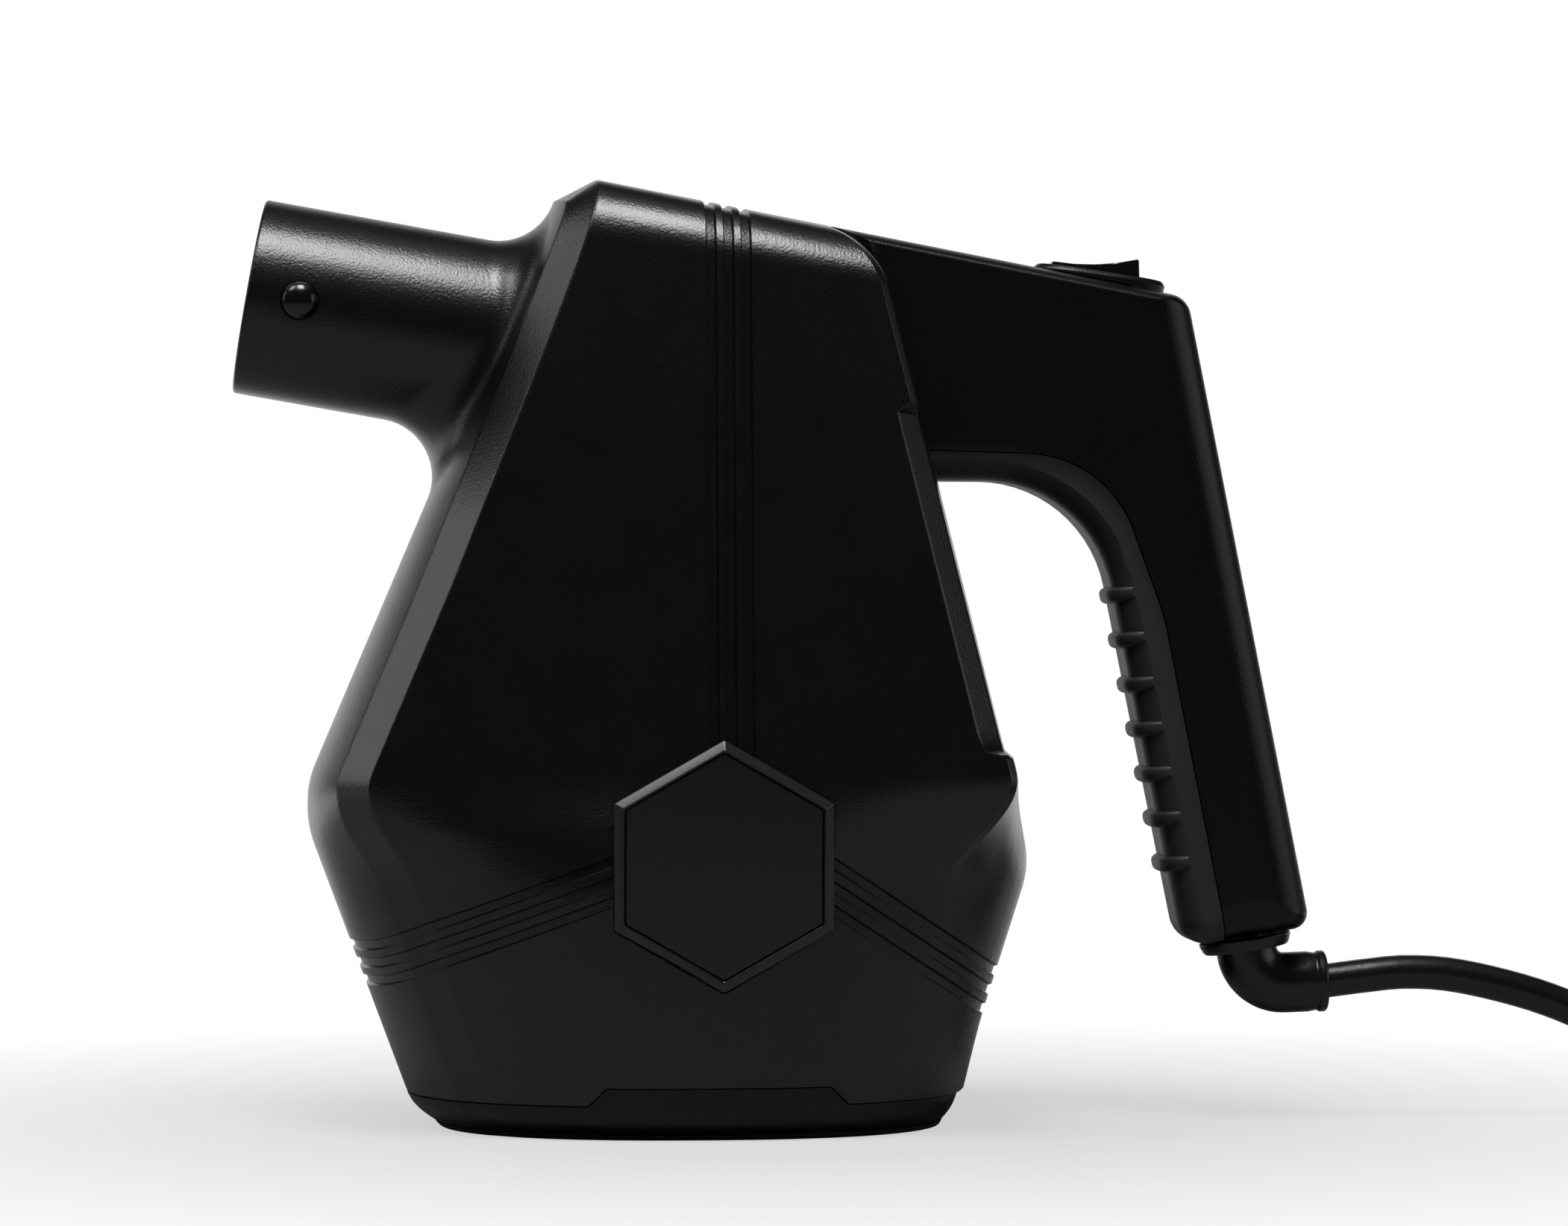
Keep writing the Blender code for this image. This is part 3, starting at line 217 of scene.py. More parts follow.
def add_solid(name, points, faces):
    """A closed mesh from points in millimetres, with doubles merged and its faces turned outward."""
    mesh = bpy.data.meshes.new(name)
    mesh.from_pydata([Vector(p) * MM for p in points], [], faces)
    bm = bmesh.new()
    bm.from_mesh(mesh)
    bmesh.ops.remove_doubles(bm, verts=bm.verts, dist=SAME_SPOT)
    bmesh.ops.dissolve_degenerate(bm, edges=bm.edges, dist=SAME_SPOT)
    bmesh.ops.recalc_face_normals(bm, faces=bm.faces)
    bm.to_mesh(mesh)
    bm.free()
    return link(name, mesh)


def bands(rings, closed=False):
    """The faces between neighbouring rings of equal count, and from the last to the first when closed."""
    count, faces = len(rings[0]), []
    for k in range(len(rings) if closed else len(rings) - 1):
        a, b = k * count, (k + 1) % len(rings) * count
        faces += [(a + i, a + (i + 1) % count, b + (i + 1) % count, b + i) for i in range(count)]
    return faces


def loft(name, rings, ends=True):
    """A skin through rings of equal count, closed by a face at each end or joined into a loop."""
    points = [p for ring in rings for p in ring]
    faces = bands(rings, closed=not ends)
    if ends:
        faces.append(tuple(range(len(rings[0]))))
        faces.append(tuple(range(len(points) - len(rings[0]), len(points))))
    return add_solid(name, points, faces)


def ridge_loft(name, rings):
    """A skin through the rings that closes along the last one, whose two sides coincide."""
    return add_solid(name, [p for ring in rings for p in ring], [tuple(range(len(rings[0])))] + bands(rings))


def frame_of(axis):
    """Two unit vectors square to the axis and to each other."""
    axis = Vector(axis).normalized()
    side = Vector((0, 1, 0)) if abs(axis.y) < 0.9 else Vector((1, 0, 0))
    side = (side - axis * side.dot(axis)).normalized()
    return side, axis.cross(side)


def all_round(u, v, sides):
    """Unit vectors all round in the plane of u and v."""
    return [u * math.cos(a) + v * math.sin(a) for a in (math.tau * k / sides for k in range(sides))]


def turned(name, profile, centre, axis, sides):
    """A turned piece from a closed outline of (radius, distance along the axis)."""
    centre, axis = Vector(centre), Vector(axis).normalized()
    return loft(name, [[centre + out * max(r, 0) + axis * t for r, t in profile]
                       for out in all_round(*frame_of(axis), sides)], ends=False)


def rod(name, centre, axis, radius, length, sides=48):
    """A plain cylinder that starts at centre and runs along the axis."""
    centre, axis = Vector(centre), Vector(axis).normalized()
    ring = [out * radius for out in all_round(*frame_of(axis), sides)]
    return loft(name, [[centre + p + axis * t for p in ring] for t in (0, length)])


def block(name, low, high):
    (x0, y0, z0), (x1, y1, z1) = low, high
    return loft(name, [[(x0, y0, z), (x1, y0, z), (x1, y1, z), (x0, y1, z)] for z in (z0, z1)])


def slab(name, outline, y0, y1):
    """An outline of (x, z) pulled from y0 to y1."""
    return loft(name, [[(x, y, z) for x, z in outline] for y in (y0, y1)])


def settle(piece):
    """Turns a piece with its modifiers into a plain mesh."""
    bpy.context.view_layer.update()
    graph = bpy.context.evaluated_depsgraph_get()
    piece.data = bpy.data.meshes.new_from_object(piece.evaluated_get(graph))
    piece.modifiers.clear()


def boolean(piece, operation, *tools):
    """Unites, cuts or intersects piece with each tool and removes the tool."""
    for tool in tools:
        step = piece.modifiers.new(operation.title(), "BOOLEAN")
        step.operation = operation
        step.solver = "MANIFOLD"
        step.object = tool
        settle(piece)
        bpy.data.objects.remove(tool, do_unlink=True)
    return piece


def unite(piece, *tools):
    return boolean(piece, "UNION", *tools)


def cut(piece, *tools):
    return boolean(piece, "DIFFERENCE", *tools)


def keep_inside(piece, tool):
    return boolean(piece, "INTERSECT", tool)


def copy_of(piece, name):
    twin = piece.copy()
    twin.data = piece.data.copy()
    twin.name = name
    bpy.context.scene.collection.objects.link(twin)
    return twin


def split(piece, side):
    """Keeps the half on one side of the middle plane, set back by half the gap."""
    edge = side * GAP / 2
    low, high = min(edge, -side * 100), max(edge, -side * 100)
    return cut(piece, block("other_half", (-200, low, -50), (200, high, 300)))


def finish(piece, name, sharp=28):
    """Names a finished piece, dresses it, smooths its curves and lets it stand for the node of its name.

    Edges that turn by more than sharp, in degrees, stay sharp."""
    slot = SLOT_OF[name]
    mesh = piece.data
    mesh.materials.clear()
    mesh.materials.append(LOOKS[slot])
    bm = bmesh.new()
    bm.from_mesh(mesh)
    bmesh.ops.remove_doubles(bm, verts=bm.verts, dist=2 * SAME_SPOT)
    bmesh.ops.dissolve_degenerate(bm, edges=bm.edges, dist=2 * SAME_SPOT)
    for face in bm.faces:
        face.material_index = 0
    bm.to_mesh(mesh)
    bm.free()
    mesh.shade_smooth()
    mesh.set_sharp_from_angle(angle=math.radians(sharp))
    piece.modifiers.new("Normals", "WEIGHTED_NORMAL").keep_sharp = True
    settle(piece)
    piece.name = piece.data.name = name + "_shape"
    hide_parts(name)
    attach(piece, BODY_OF[name])


def rounded(corners, steps, open_ends=False):
    """Points along an outline whose corners (x, z, radius) are rounded with arcs."""
    points = []
    last = len(corners) - 1
    for i, (x, z, radius) in enumerate(corners):
        if radius <= 0 or (open_ends and i in (0, last)):
            points.append((x, z))
            continue
        here = Vector((x, z))
        back = (Vector(corners[i - 1][:2]) - here).normalized()
        ahead = (Vector(corners[(i + 1) % len(corners)][:2]) - here).normalized()
        half = math.acos(max(-1, min(1, back.dot(ahead)))) / 2
        centre = here + (back + ahead).normalized() * (radius / math.sin(half))
        start = here + back * (radius / math.tan(half)) - centre
        stop = here + ahead * (radius / math.tan(half)) - centre
        sweep = start.angle_signed(stop)
        for k in range(steps + 1):
            spot = centre + start @ Matrix.Rotation(sweep * k / steps, 2)
            points.append((spot.x, spot.y))
    return points


def offset_corners(corners, inset, insets):
    """The corners of an outline moved inward: each edge by its own of the insets, each rounding by inset."""
    area = sum(a[0] * b[1] - b[0] * a[1] for a, b in zip(corners, corners[1:] + corners[:1]))
    turn = 1 if area > 0 else -1
    moved = []
    for i, (x, z, radius) in enumerate(corners):
        here = Vector((x, z))
        into = (here - Vector(corners[i - 1][:2])).normalized()
        onto = (Vector(corners[(i + 1) % len(corners)][:2]) - here).normalized()
        n1, n2 = Vector((-into.y, into.x)) * turn, Vector((-onto.y, onto.x)) * turn
        first, second = insets[i - 1], insets[i]
        lean = n1.dot(n2)
        apart = max(1 - lean * lean, 1e-6)
        spot = here + n1 * ((first - lean * second) / apart) + n2 * ((second - lean * first) / apart)
        convex = (into.x * onto.y - into.y * onto.x) * turn > 0
        grown = radius - inset if convex else radius + inset
        moved.append((spot.x, spot.y, max(grown, 0.4) if radius > 0 else 0))
    return moved


def soft_oval(count):
    """Shares of the two half widths, round an oval that is squarer than an ellipse."""
    def soft(value):
        return math.copysign(abs(value) ** SOFT_POWER, value)
    angles = (math.tau * k / count for k in range(count))
    return [(soft(math.cos(a)), soft(math.cos(a - math.pi / 2))) for a in angles]


def tube(name, path, radii):
    """A solid round bar along a path of points, with a radius at each."""
    rings = []
    side = None
    for i, spot in enumerate(path):
        ahead = (path[min(i + 1, len(path) - 1)] - path[max(i - 1, 0)]).normalized()
        side = frame_of(ahead)[0] if side is None else (side - ahead * side.dot(ahead)).normalized()
        rings.append([spot + out * radii[i] for out in all_round(side, ahead.cross(side), 48)])
    return loft(name, rings)


# ---- body surface

# Side edges from the floor up: x, z and the reach over which the corner is eased.
FRONT_EDGE = [(-94.2, 0, 0), (-123.1, 77, 5), (-123.1, 88.5, 5), (-50.5, 260, 0)]
REAR_EDGE = [(44.4, 0, 0), (51.4, 28, 6), (63.9, 66.5, 6), (57.6, 95.5, 0.5), (55.7, 97, 0.5), (16.4, 260, 0)]
TOP_AT_AXIS = 231.9
TOP_SLOPE = 0.1946  # fall of the top toward the rear
TOP_CROWN = 2.4
TILT_FROM = 100.0  # level above which the rings lean toward the top's slope
TOP_ROUND = 13.0
TOP_TURN = math.radians(84)  # how far the front strip has turned where the top's rounding ends
STRIP_ACROSS = 11.0  # how far the front strip reaches across the body's side
STRIP_OVER = 5.4  # how far it drops where it runs over the top
STRIP_END = (15.8, 3.3, 2.6)  # the strip's reach behind the front line, and its even and late losses upward
STRIP_FADE = (140, 100, 10)  # level and run of those losses, and the power of the late one
FRONT_CROWN = (7.5, 2.8)  # how far the front face curves back, and its loss toward the top
FRONT_FADE = (130, 95, 1.3)  # level, run and power of that loss
REAR_CROWN = 4.0
REAR_CHAMFER = (6.0, 7.0)
SIDE_AT_BELT = 63.0
BELT = 77.0
SIDE_LEAN, SIDE_LEAN_BELOW = 0.12, 0.03
SIDE_TURN, SIDE_TURN_AT = 0.09, -27.0  # how the side widens toward the rear, and where it is neutral
SIDE_CROWN = 0.6
OVAL_POWER = 2.4
OVAL_HALF = (61.0, 5.5)
FACETS_END, OVAL_FROM = 92.0, 60.0  # levels between which the facets turn into the base's oval
SHELL_FOOT = 9.0
SIDE_END = 218.0
WALL = 3.0
STRIP = (97.0, 182.0)  # levels between which the rear chamfer is a full strip
STRIP_REST = 0.3  # size of the rear chamfer beyond the strip
STRIP_TOE = (5.0, 0.55, 0.45)  # height of the strip's rounded lower end, its least size and what is added
FRONT_SOFT, REAR_SOFT = 0.8, 0.9  # reach of the soft corners
CURVE_STEPS, SIDE_STEPS, BACK_STEPS, FACE_STEPS = 12, 30, 9, 16
ROUND_STEPS, CAP_STEPS = 12, 8
ROUNDS = 12  # how often a place is set right on a leaning section


def bend(before, corner, after, reach, steps=4):
    """Points of a soft corner that starts and stops at the reach from the sharp one."""
    start = corner + (before - corner).normalized() * reach
    stop = corner + (after - corner).normalized() * reach
    return [start * (1 - t) ** 2 + corner * (2 * t * (1 - t)) + stop * t ** 2 for t in shares(steps)]


def edge_curve(corners):
    """A side edge from bottom to top, each corner eased over its reach on both sides."""
    flat = [Vector(corner[:2]) for corner in corners]
    points = [flat[0]]
    for before, here, after, corner in zip(flat, flat[1:], flat[2:], corners[1:]):
        points += bend(before, here, after, corner[2], CURVE_STEPS)
    return points + [flat[-1]]


FRONT_CURVE = edge_curve(FRONT_EDGE)
REAR_CURVE = edge_curve(REAR_EDGE)


def edge_x(curve, z):
    for a, b in zip(curve, curve[1:]):
        if z <= b.y or b is curve[-1]:
            return a.x + (b.x - a.x) * (z - a.y) / (b.y - a.y)


def on_level(curve, level, tilt):
    """Where an edge meets the section that is at this height on the axis and leans by tilt."""
    z = level
    for _ in range(ROUNDS):
        x = edge_x(curve, z)
        z = level - tilt * x
    return x


def side_half(x, z):
    """Half the body's width at a place, before roundings."""
    lean = SIDE_LEAN if z > BELT else SIDE_LEAN_BELOW
    return SIDE_AT_BELT - lean * abs(z - BELT) + SIDE_TURN * (x - SIDE_TURN_AT)


def oval_point(x, y, middle, half_x, half_y):
    """The place on the base's oval in the direction of (x, y) from its middle."""
    angle = math.atan2(y, x - middle)
    c, s = math.cos(angle), math.sin(angle)
    reach = (abs(c / half_x) ** OVAL_POWER + abs(s / half_y) ** OVAL_POWER) ** (-1 / OVAL_POWER)
    return middle + reach * c, reach * s


def strip_share(level):
    """How much of the rear chamfer there is: all of it in the strip, with a rounded lower end."""
    low, high = STRIP
    if level < low or level > high:
        return STRIP_REST
    run, least, added = STRIP_TOE
    t = min(1.0, (level - low) / run)
    return least + added * math.sqrt(1 - (1 - t) ** 2)


def crown_depth(z):
    """How far the front face curves back at the strip's inner edge."""
    level, run, power = FRONT_FADE
    return FRONT_CROWN[0] - FRONT_CROWN[1] * max(0.0, (z - level) / run) ** power


def strip_end(z):
    """How far behind the front line the strip's outer edge is."""
    level, run, power = STRIP_FADE
    t = max(0.0, (z - level) / run)
    return STRIP_END[0] - STRIP_END[1] * t - STRIP_END[2] * t ** power


def front_half(z):
    """Half the width of the front face at a height."""
    return side_half(edge_x(FRONT_CURVE, z) + strip_end(z), z) - STRIP_ACROSS


def front_face(y, z):
    return edge_x(FRONT_CURVE, z) + crown_depth(z) * (y / front_half(z)) ** 2


def half_ring(level, inset=0.0, drawn=0.0, turn=0.0, crown=0.0, across=1.0):
    """Half a ring round the body, from the front middle to the rear middle.

    inset shrinks the whole body; drawn moves only the sides in, as the top's rounding does; turn is how far
    the surface has turned toward the top, which takes the front strip over it; crown is how far the middle
    stands above the edges, and across is the share of the width that is left."""
    tilt = TOP_SLOPE * max(0.0, (level - TILT_FROM) / (TOP_AT_AXIS - TILT_FROM))
    rear = on_level(REAR_CURVE, level, tilt) - inset - drawn
    z = level + tilt * 50
    for _ in range(ROUNDS):
        side_x = edge_x(FRONT_CURVE, z) + strip_end(z) + inset
        z = level - tilt * side_x
    share = strip_share(level - tilt * rear)
    rear_x, rear_y = [size * max(0.1, 1 - (inset + drawn) / 16) * share for size in REAR_CHAMFER]
    side_y = side_half(side_x, level - tilt * side_x) - inset - drawn
    back_x = rear - REAR_CROWN - rear_x
    back_y = side_half(back_x, level - tilt * back_x) - inset - drawn
    side = [Vector((side_x + (back_x - side_x) * t,
                    side_y + (back_y - side_y) * t + SIDE_CROWN * 4 * t * (1 - t)))
            for t in shares(SIDE_STEPS)]
    back = [Vector((rear - REAR_CROWN * t * t, (back_y - rear_y) * t)) for t in reversed(shares(BACK_STEPS))]
    soft = REAR_SOFT * min(1, share + 0.1)
    flat = side[:-1] + bend(side[-2], side[-1], back[0], soft)
    flat += bend(side[-1], back[0], back[1], soft) + back[1:]
    wide = max(p.y for p in flat)
    top = [Vector((p.x, p.y * across, level - tilt * p.x + crown * (1 - (p.y * across / wide) ** 2)))
           for p in flat]
    corner = top[0]
    inner_y = max(0.0, corner.y - STRIP_ACROSS * math.cos(turn) * min(1.0, across * 1.5))
    inner_z = corner.z - STRIP_OVER * math.sin(turn)
    half = front_half(inner_z) - inset * 0.5
    face = [Vector((edge_x(FRONT_CURVE, inner_z) + inset + crown_depth(inner_z) * (inner_y * t / half) ** 2,
                    inner_y * t, inner_z)) for t in shares(FACE_STEPS)]
    outline = face[:-1] + bend(face[-2], face[-1], corner, FRONT_SOFT)
    outline += bend(face[-1], corner, top[1], FRONT_SOFT) + top[1:]
    share = ease((FACETS_END - level) / (FACETS_END - OVAL_FROM))
    if share:
        middle, half_x = (outline[0].x + rear) / 2, (rear - outline[0].x) / 2
        half_y = OVAL_HALF[0] + OVAL_HALF[1] * math.sin(math.pi / 2 * min(1, level / BELT)) - inset
        for p in outline:
            x, y = oval_point(p.x, p.y, middle, half_x, half_y)
            p.x, p.y = p.x + (x - p.x) * share, p.y + (y - p.y) * share
    return outline


def body_ring(*how):
    """A closed ring round the body from two half rings."""
    half = half_ring(*how)
    return [mirrored(p) for p in half] + [p.copy() for p in half[-2:0:-1]]


def side_levels(foot):
    """Levels of the rings up the sides: closer where the facets begin, with more at the strip's lower end."""
    low, high = STRIP
    levels = [foot]
    while levels[-1] < SIDE_END - 1:
        levels.append(levels[-1] + (2.2 if 56 < levels[-1] < 112 else 3.2))
    ends = (low - 1.5, low, high)
    levels = [z for z in levels if z < SIDE_END and all(abs(z - end) > 1.2 for end in ends)]
    return sorted(levels + [low - 1.5, low - 0.4, low + 0.02, low + 0.6, low + 1.5])


def top_stages(inset):
    """What half_ring is given for the rings that round the sides over and close the top."""
    top, radius, steps = TOP_AT_AXIS - inset, TOP_ROUND - inset, ROUND_STEPS
    stages = []
    for k in range(steps + 1):
        angle = math.pi / 2 * k / steps
        stages.append((top - radius + radius * math.sin(angle), inset, radius * (1 - math.cos(angle)),
                       TOP_TURN * k / steps, TOP_CROWN * (k / steps) ** 2))
    for k in range(1, CAP_STEPS + 1):
        turn = TOP_TURN + (math.pi / 2 - TOP_TURN) * k / CAP_STEPS
        stages.append((top, inset, radius, turn, TOP_CROWN, 1 - k / CAP_STEPS))
    return stages


def body_solid(name, inset=0.0, foot=SHELL_FOOT, levels=None):
    """The body as one solid, shrunk by inset, with its rounded and crowned top."""
    round_from = TOP_AT_AXIS - inset - (TOP_ROUND - inset)
    rings = [body_ring(level, inset) for level in (levels or side_levels(foot)) if level < round_from]
    return ridge_loft(name, rings + [body_ring(*stage) for stage in top_stages(inset)])


def half_width(x, z):
    """How far the body's side is from the middle plane at a place on it."""
    level = z
    for _ in range(4):
        half = half_ring(level)
        near = min(half, key=lambda p: abs(p.x - x))
        level += z - near.z
    for a, b in zip(half, half[1:]):
        if a.x <= x <= b.x:
            return a.y + (b.y - a.y) * (x - a.x) / max(b.x - a.x, 1e-6)
    return 0.0


# ---- nozzle

NOZZLE_TIP = Vector((-138.1, 0, 213.9))
NOZZLE_TILT = math.radians(10.0)
NOZZLE_OUT = Vector((-math.cos(NOZZLE_TILT), 0, math.sin(NOZZLE_TILT)))
NOZZLE_R = 25.3
NOZZLE_BORE_R = 22.3
NOZZLE_FILLET = 15.0
NOZZLE_LIP = 0.9  # rounding of the mouth's outer edge
NOZZLE_SIDES, FILLET_STEPS, LIP_STEPS = 120, 14, 4


def front_normal(y, z, step=0.2):
    """The outward direction of the front face."""
    slope_y = (front_face(y + step, z) - front_face(y - step, z)) / (2 * step)
    slope_z = (front_face(y, z + step) - front_face(y, z - step)) / (2 * step)
    return Vector((-1, slope_y, slope_z)).normalized()


def nozzle_solid():
    """The nozzle's outside with the fillet that runs onto the crowned front of the body.

    The fillet's centre is found for each direction round the nozzle. It is smaller where the face
    is narrow."""
    out, lip = NOZZLE_OUT, NOZZLE_LIP
    across, up = frame_of(out)
    rings = [[] for _ in range(LIP_STEPS + FILLET_STEPS + 3)]
    for i in range(NOZZLE_SIDES):
        angle = math.tau * i / NOZZLE_SIDES
        ray = across * math.cos(angle) + up * math.sin(angle)
        room = (front_half(NOZZLE_TIP.z) - 0.2) / max(abs(math.cos(angle)), 0.05) - NOZZLE_R
        fillet = (NOZZLE_FILLET ** -5 + room ** -5) ** -0.2
        edge = NOZZLE_TIP + ray * (NOZZLE_R + fillet)
        y, z, run = edge.y, edge.z, 0.0
        for _ in range(40):
            local = front_normal(y, z)
            run += 0.7 * ((front_face(y, z) + 0.03 + local.x * fillet - edge.x) / out.x - run)
            centre = edge + out * run
            y, z = centre.y - local.y * fillet, centre.z - local.z * fillet
        for k in range(LIP_STEPS + 1):
            turn = math.pi / 2 * k / LIP_STEPS
            rings[k].append(NOZZLE_TIP + ray * (NOZZLE_R - lip + lip * math.sin(turn))
                            - out * (lip - lip * math.cos(turn)))
        for k in range(FILLET_STEPS + 1):
            rings[LIP_STEPS + 1 + k].append(centre + (-ray).slerp(-local, k / FILLET_STEPS) * fillet)
        rings[-1].append(centre - local * (fillet + 2.5))
    return loft("nozzle", rings)


# ---- badges and pins

BADGE_AT = (-18.6, 68.8)
BADGE_R = 31.6
BADGE_RIM = 2.9
BADGE_TILT = math.radians(2.5)
BADGE_FACE = 67.5
BADGE_FLOOR = 63.4
BADGE_SHARP = 20
PIN_FROM_TIP = 13.7
PIN_R = 4.75
PIN_STEM_R = 2.5
PIN_SINK = 0.9  # how far the pin's seat lies inside the nozzle's outside
PIN_BELT = 1.3  # height of the pin's straight part
PIN_PROUD = 3.4


def hexagon(name, side, profile, closed=True):
    """A hexagon on the body's side, point up, leaning with the wall; the profile is (radius, height)."""
    x, z = BADGE_AT
    lean = Matrix.Rotation(-side * BADGE_TILT, 3, "X")
    rings = []
    for radius, y in profile:
        corners = [Vector((radius * math.sin(math.tau * k / 6), 0, radius * math.cos(math.tau * k / 6)))
                   for k in range(6)]
        ring = []
        for here, after in zip(corners, corners[1:] + corners[:1]):
            soft = here.lerp(after, 0.012), here.lerp(after, 0.988)
            ring += [lean @ p + Vector((x, side * y, z)) for p in soft]
        rings.append(ring)
    return loft(name, rings, ends=closed)


def badges():
    face, inner = BADGE_FACE, BADGE_R - BADGE_RIM
    rim = [(BADGE_R, BADGE_FLOOR), (BADGE_R, face - 1.7), (BADGE_R - 0.25, face - 1.4),
           (inner + 0.75, face - 0.1), (inner + 0.5, face), (inner + 0.2, face - 0.1), (inner, face - 0.4),
           (inner, BADGE_FLOOR)]
    plate = [(inner - GAP, BADGE_FLOOR), (inner - GAP, face - 0.95), (inner - GAP - 0.3, face - 0.7)]
    for side, name in SIDES:
        finish(hexagon("rim", side, rim, closed=False), f"badge_rim_{name}", BADGE_SHARP)
        finish(hexagon("plate", side, plate), f"badge_plate_{name}", BADGE_SHARP)


def pin_foot(side):
    """The centre of a bayonet pin's seat, on the nozzle's side."""
    return NOZZLE_TIP - NOZZLE_OUT * PIN_FROM_TIP + Vector((0, side * (NOZZLE_R - PIN_SINK), 0))


def bayonet_pins():
    rise = PIN_PROUD + PIN_SINK - PIN_BELT
    profile = [(0, -2.2), (PIN_STEM_R, -2.2), (PIN_STEM_R, GAP), (PIN_R, GAP), (PIN_R, PIN_BELT)]
    profile += [(PIN_R * math.cos(a), PIN_BELT + rise * math.sin(a))
                for a in (math.pi / 2 * k / 14 for k in range(1, 14))]
    profile.append((0, PIN_BELT + rise))
    for side, name in SIDES:
        finish(turned("pin", profile, pin_foot(side), (0, side, 0), 48), f"bayonet_pin_{name}")


# ---- body shells

BODY_SCREWS = [(-98, 62), (44, 62), (-80, 142), (33, 138), (-6, 219)]
HANDLE_SCREWS = [(55, 208), (97, 190), (116.8, 100)]
HEAD_SEAT = 6.0  # how far out from the middle plane a screw's head sits
PILOT_R, THROUGH_R, RECESS_R = 1.95, 2.1, 3.6
TONGUE = (-47.5, 8.4, 13.2)  # ends and top of the cover's tongues
TONGUE_RUN = 4.5  # how far their sloping ends run out
TONGUE_SHOULDER = 8.7
SEAM = (0.5, 0.35)  # height and depth of the step along the shells' foot
FRONT_BAND = [(-20, 74.8), (-46.6, 65.0), (-90, 48.7), (-98, 45.4), (-104, 43.3), (-110, 42.3), (-145, 42.0)]
REAR_BAND = [(-10, 76.0), (9.5, 63.2), (53, 34.7), (75, 20.3)]
FRONT_PITCH, REAR_PITCH, TOP_PITCH = 4.7, 4.9, 4.4
TOP_BAND_AT = -16.5
GROOVE_TOP, GROOVE_FLOOR, GROOVE_DEPTH = 2.8, 1.9, 0.8
MOTOR_X = -26.0
HOLLOW_LEVELS = [-5, 22, 38, 54, 68, 77, 86, 95.5, 97.2, 112, 190]
MOUTH_FLARE = 3.6
BULKHEAD, INLET_R = (20.0, 22.5), 44  # the plate that carries the fan housing, and the opening in it
SHELF, SHELF_HALF = (160.3, 163.3), 9  # the bridge that carries the motor's upper end
SIDE_FROM = 20  # index in half_ring at which the side begins


def parallel(line, away):
    """The points of an open line of (x, z) moved sideways."""
    line = [Vector(p) for p in line]
    moved = []
    for i, here in enumerate(line):
        ahead = (line[min(i + 1, len(line) - 1)] - line[max(i - 1, 0)]).normalized()
        moved.append(here + Vector((-ahead.y, ahead.x)) * away)
    return moved


def height_on(line, x):
    """Height at x of a line of (x, z), which runs level past its ends."""
    for a, b in zip(line, line[1:]):
        if min(a.x, b.x) <= x <= max(a.x, b.x):
            return a.y + (b.y - a.y) * (x - a.x) / (b.x - a.x)
    return line[0].y if abs(x - line[0].x) < abs(x - line[-1].x) else line[-1].y


def band_path(band, away, keep):
    """Places and outward directions along a groove, from one badge round an end of the body to the other."""
    line = parallel(band, away)
    last = len(half_ring(50)) - 1
    half = []
    for i in range(last + 1):
        z = 50.0
        for _ in range(8):
            spot = half_ring(z)[i]
            z = height_on(line, spot.x)
        if not keep(spot.x):
            continue
        here, above, below = half_ring(z), half_ring(z + 0.5), half_ring(z - 0.5)
        spot = here[i]
        along = here[min(i + 1, last)] - here[max(i - 1, 0)]
        if i in (0, last):
            along = Vector((0, 1, 0)) if i == 0 else Vector((0, -1, 0))
        normal = (above[i] - below[i]).cross(along).normalized()
        outward = normal.dot(Vector((spot.x - MOTOR_X, spot.y, 0))) > 0
        half.append((spot.copy(), normal if outward else -normal))
    if keep(-200):
        half.reverse()
    return half + [(mirrored(p), mirrored(n)) for p, n in half[::-1] if p.y > 0.05]


def top_path(x):
    """Places and outward directions along a groove that runs over the top at this x."""
    levels = [level for level in (88 + 2.6 * k for k in range(50)) if level < TOP_AT_AXIS - TOP_ROUND]
    spots = []
    for ring in [half_ring(level) for level in levels] + [half_ring(*stage) for stage in top_stages(0)]:
        for a, b in zip(ring[SIDE_FROM:], ring[SIDE_FROM + 1:]):
            if a.x <= x <= b.x:
                spots.append(a.lerp(b, (x - a.x) / (b.x - a.x)))
                break
    spots[-1].y = 0
    half = []
    for i, spot in enumerate(spots):
        along = Vector((0, -1, 0)) if spot is spots[-1] else spots[i + 1] - spots[max(i - 1, 0)]
        normal = Vector((0, along.z, -along.y)).normalized()
        lean = TOP_SLOPE * max(0.0, normal.z)
        half.append((spot, Vector((normal.x + lean, normal.y, normal.z)).normalized()))
    return half + [(mirrored(p), mirrored(n)) for p, n in half[-2::-1]]


def groove(path):
    """A cutter with sloping walls along a path of places and outward directions."""
    top, floor, proud = GROOVE_TOP / 2, GROOVE_FLOOR / 2, 0.6
    wide = top + (top - floor) * proud / GROOVE_DEPTH
    rings = []
    for i, (spot, normal) in enumerate(path):
        along = (path[min(i + 1, len(path) - 1)][0] - path[max(i - 1, 0)][0]).normalized()
        across = normal.cross(along).normalized()
        rings.append([spot + normal * proud + across * wide, spot + normal * proud - across * wide,
                      spot - normal * GROOVE_DEPTH - across * floor,
                      spot - normal * GROOVE_DEPTH + across * floor])
    return loft("groove", rings)


def cut_grooves(casing):
    """Three grooves from the badge round the front, three round the rear and three over the top."""
    for k in (-1, 0, 1):
        cut(casing, groove(band_path(FRONT_BAND, k * FRONT_PITCH, lambda x: x < -32)))
        cut(casing, groove(band_path(REAR_BAND, k * REAR_PITCH, lambda x: x > 2)))
        cut(casing, groove(top_path(TOP_BAND_AT + k * TOP_PITCH)))


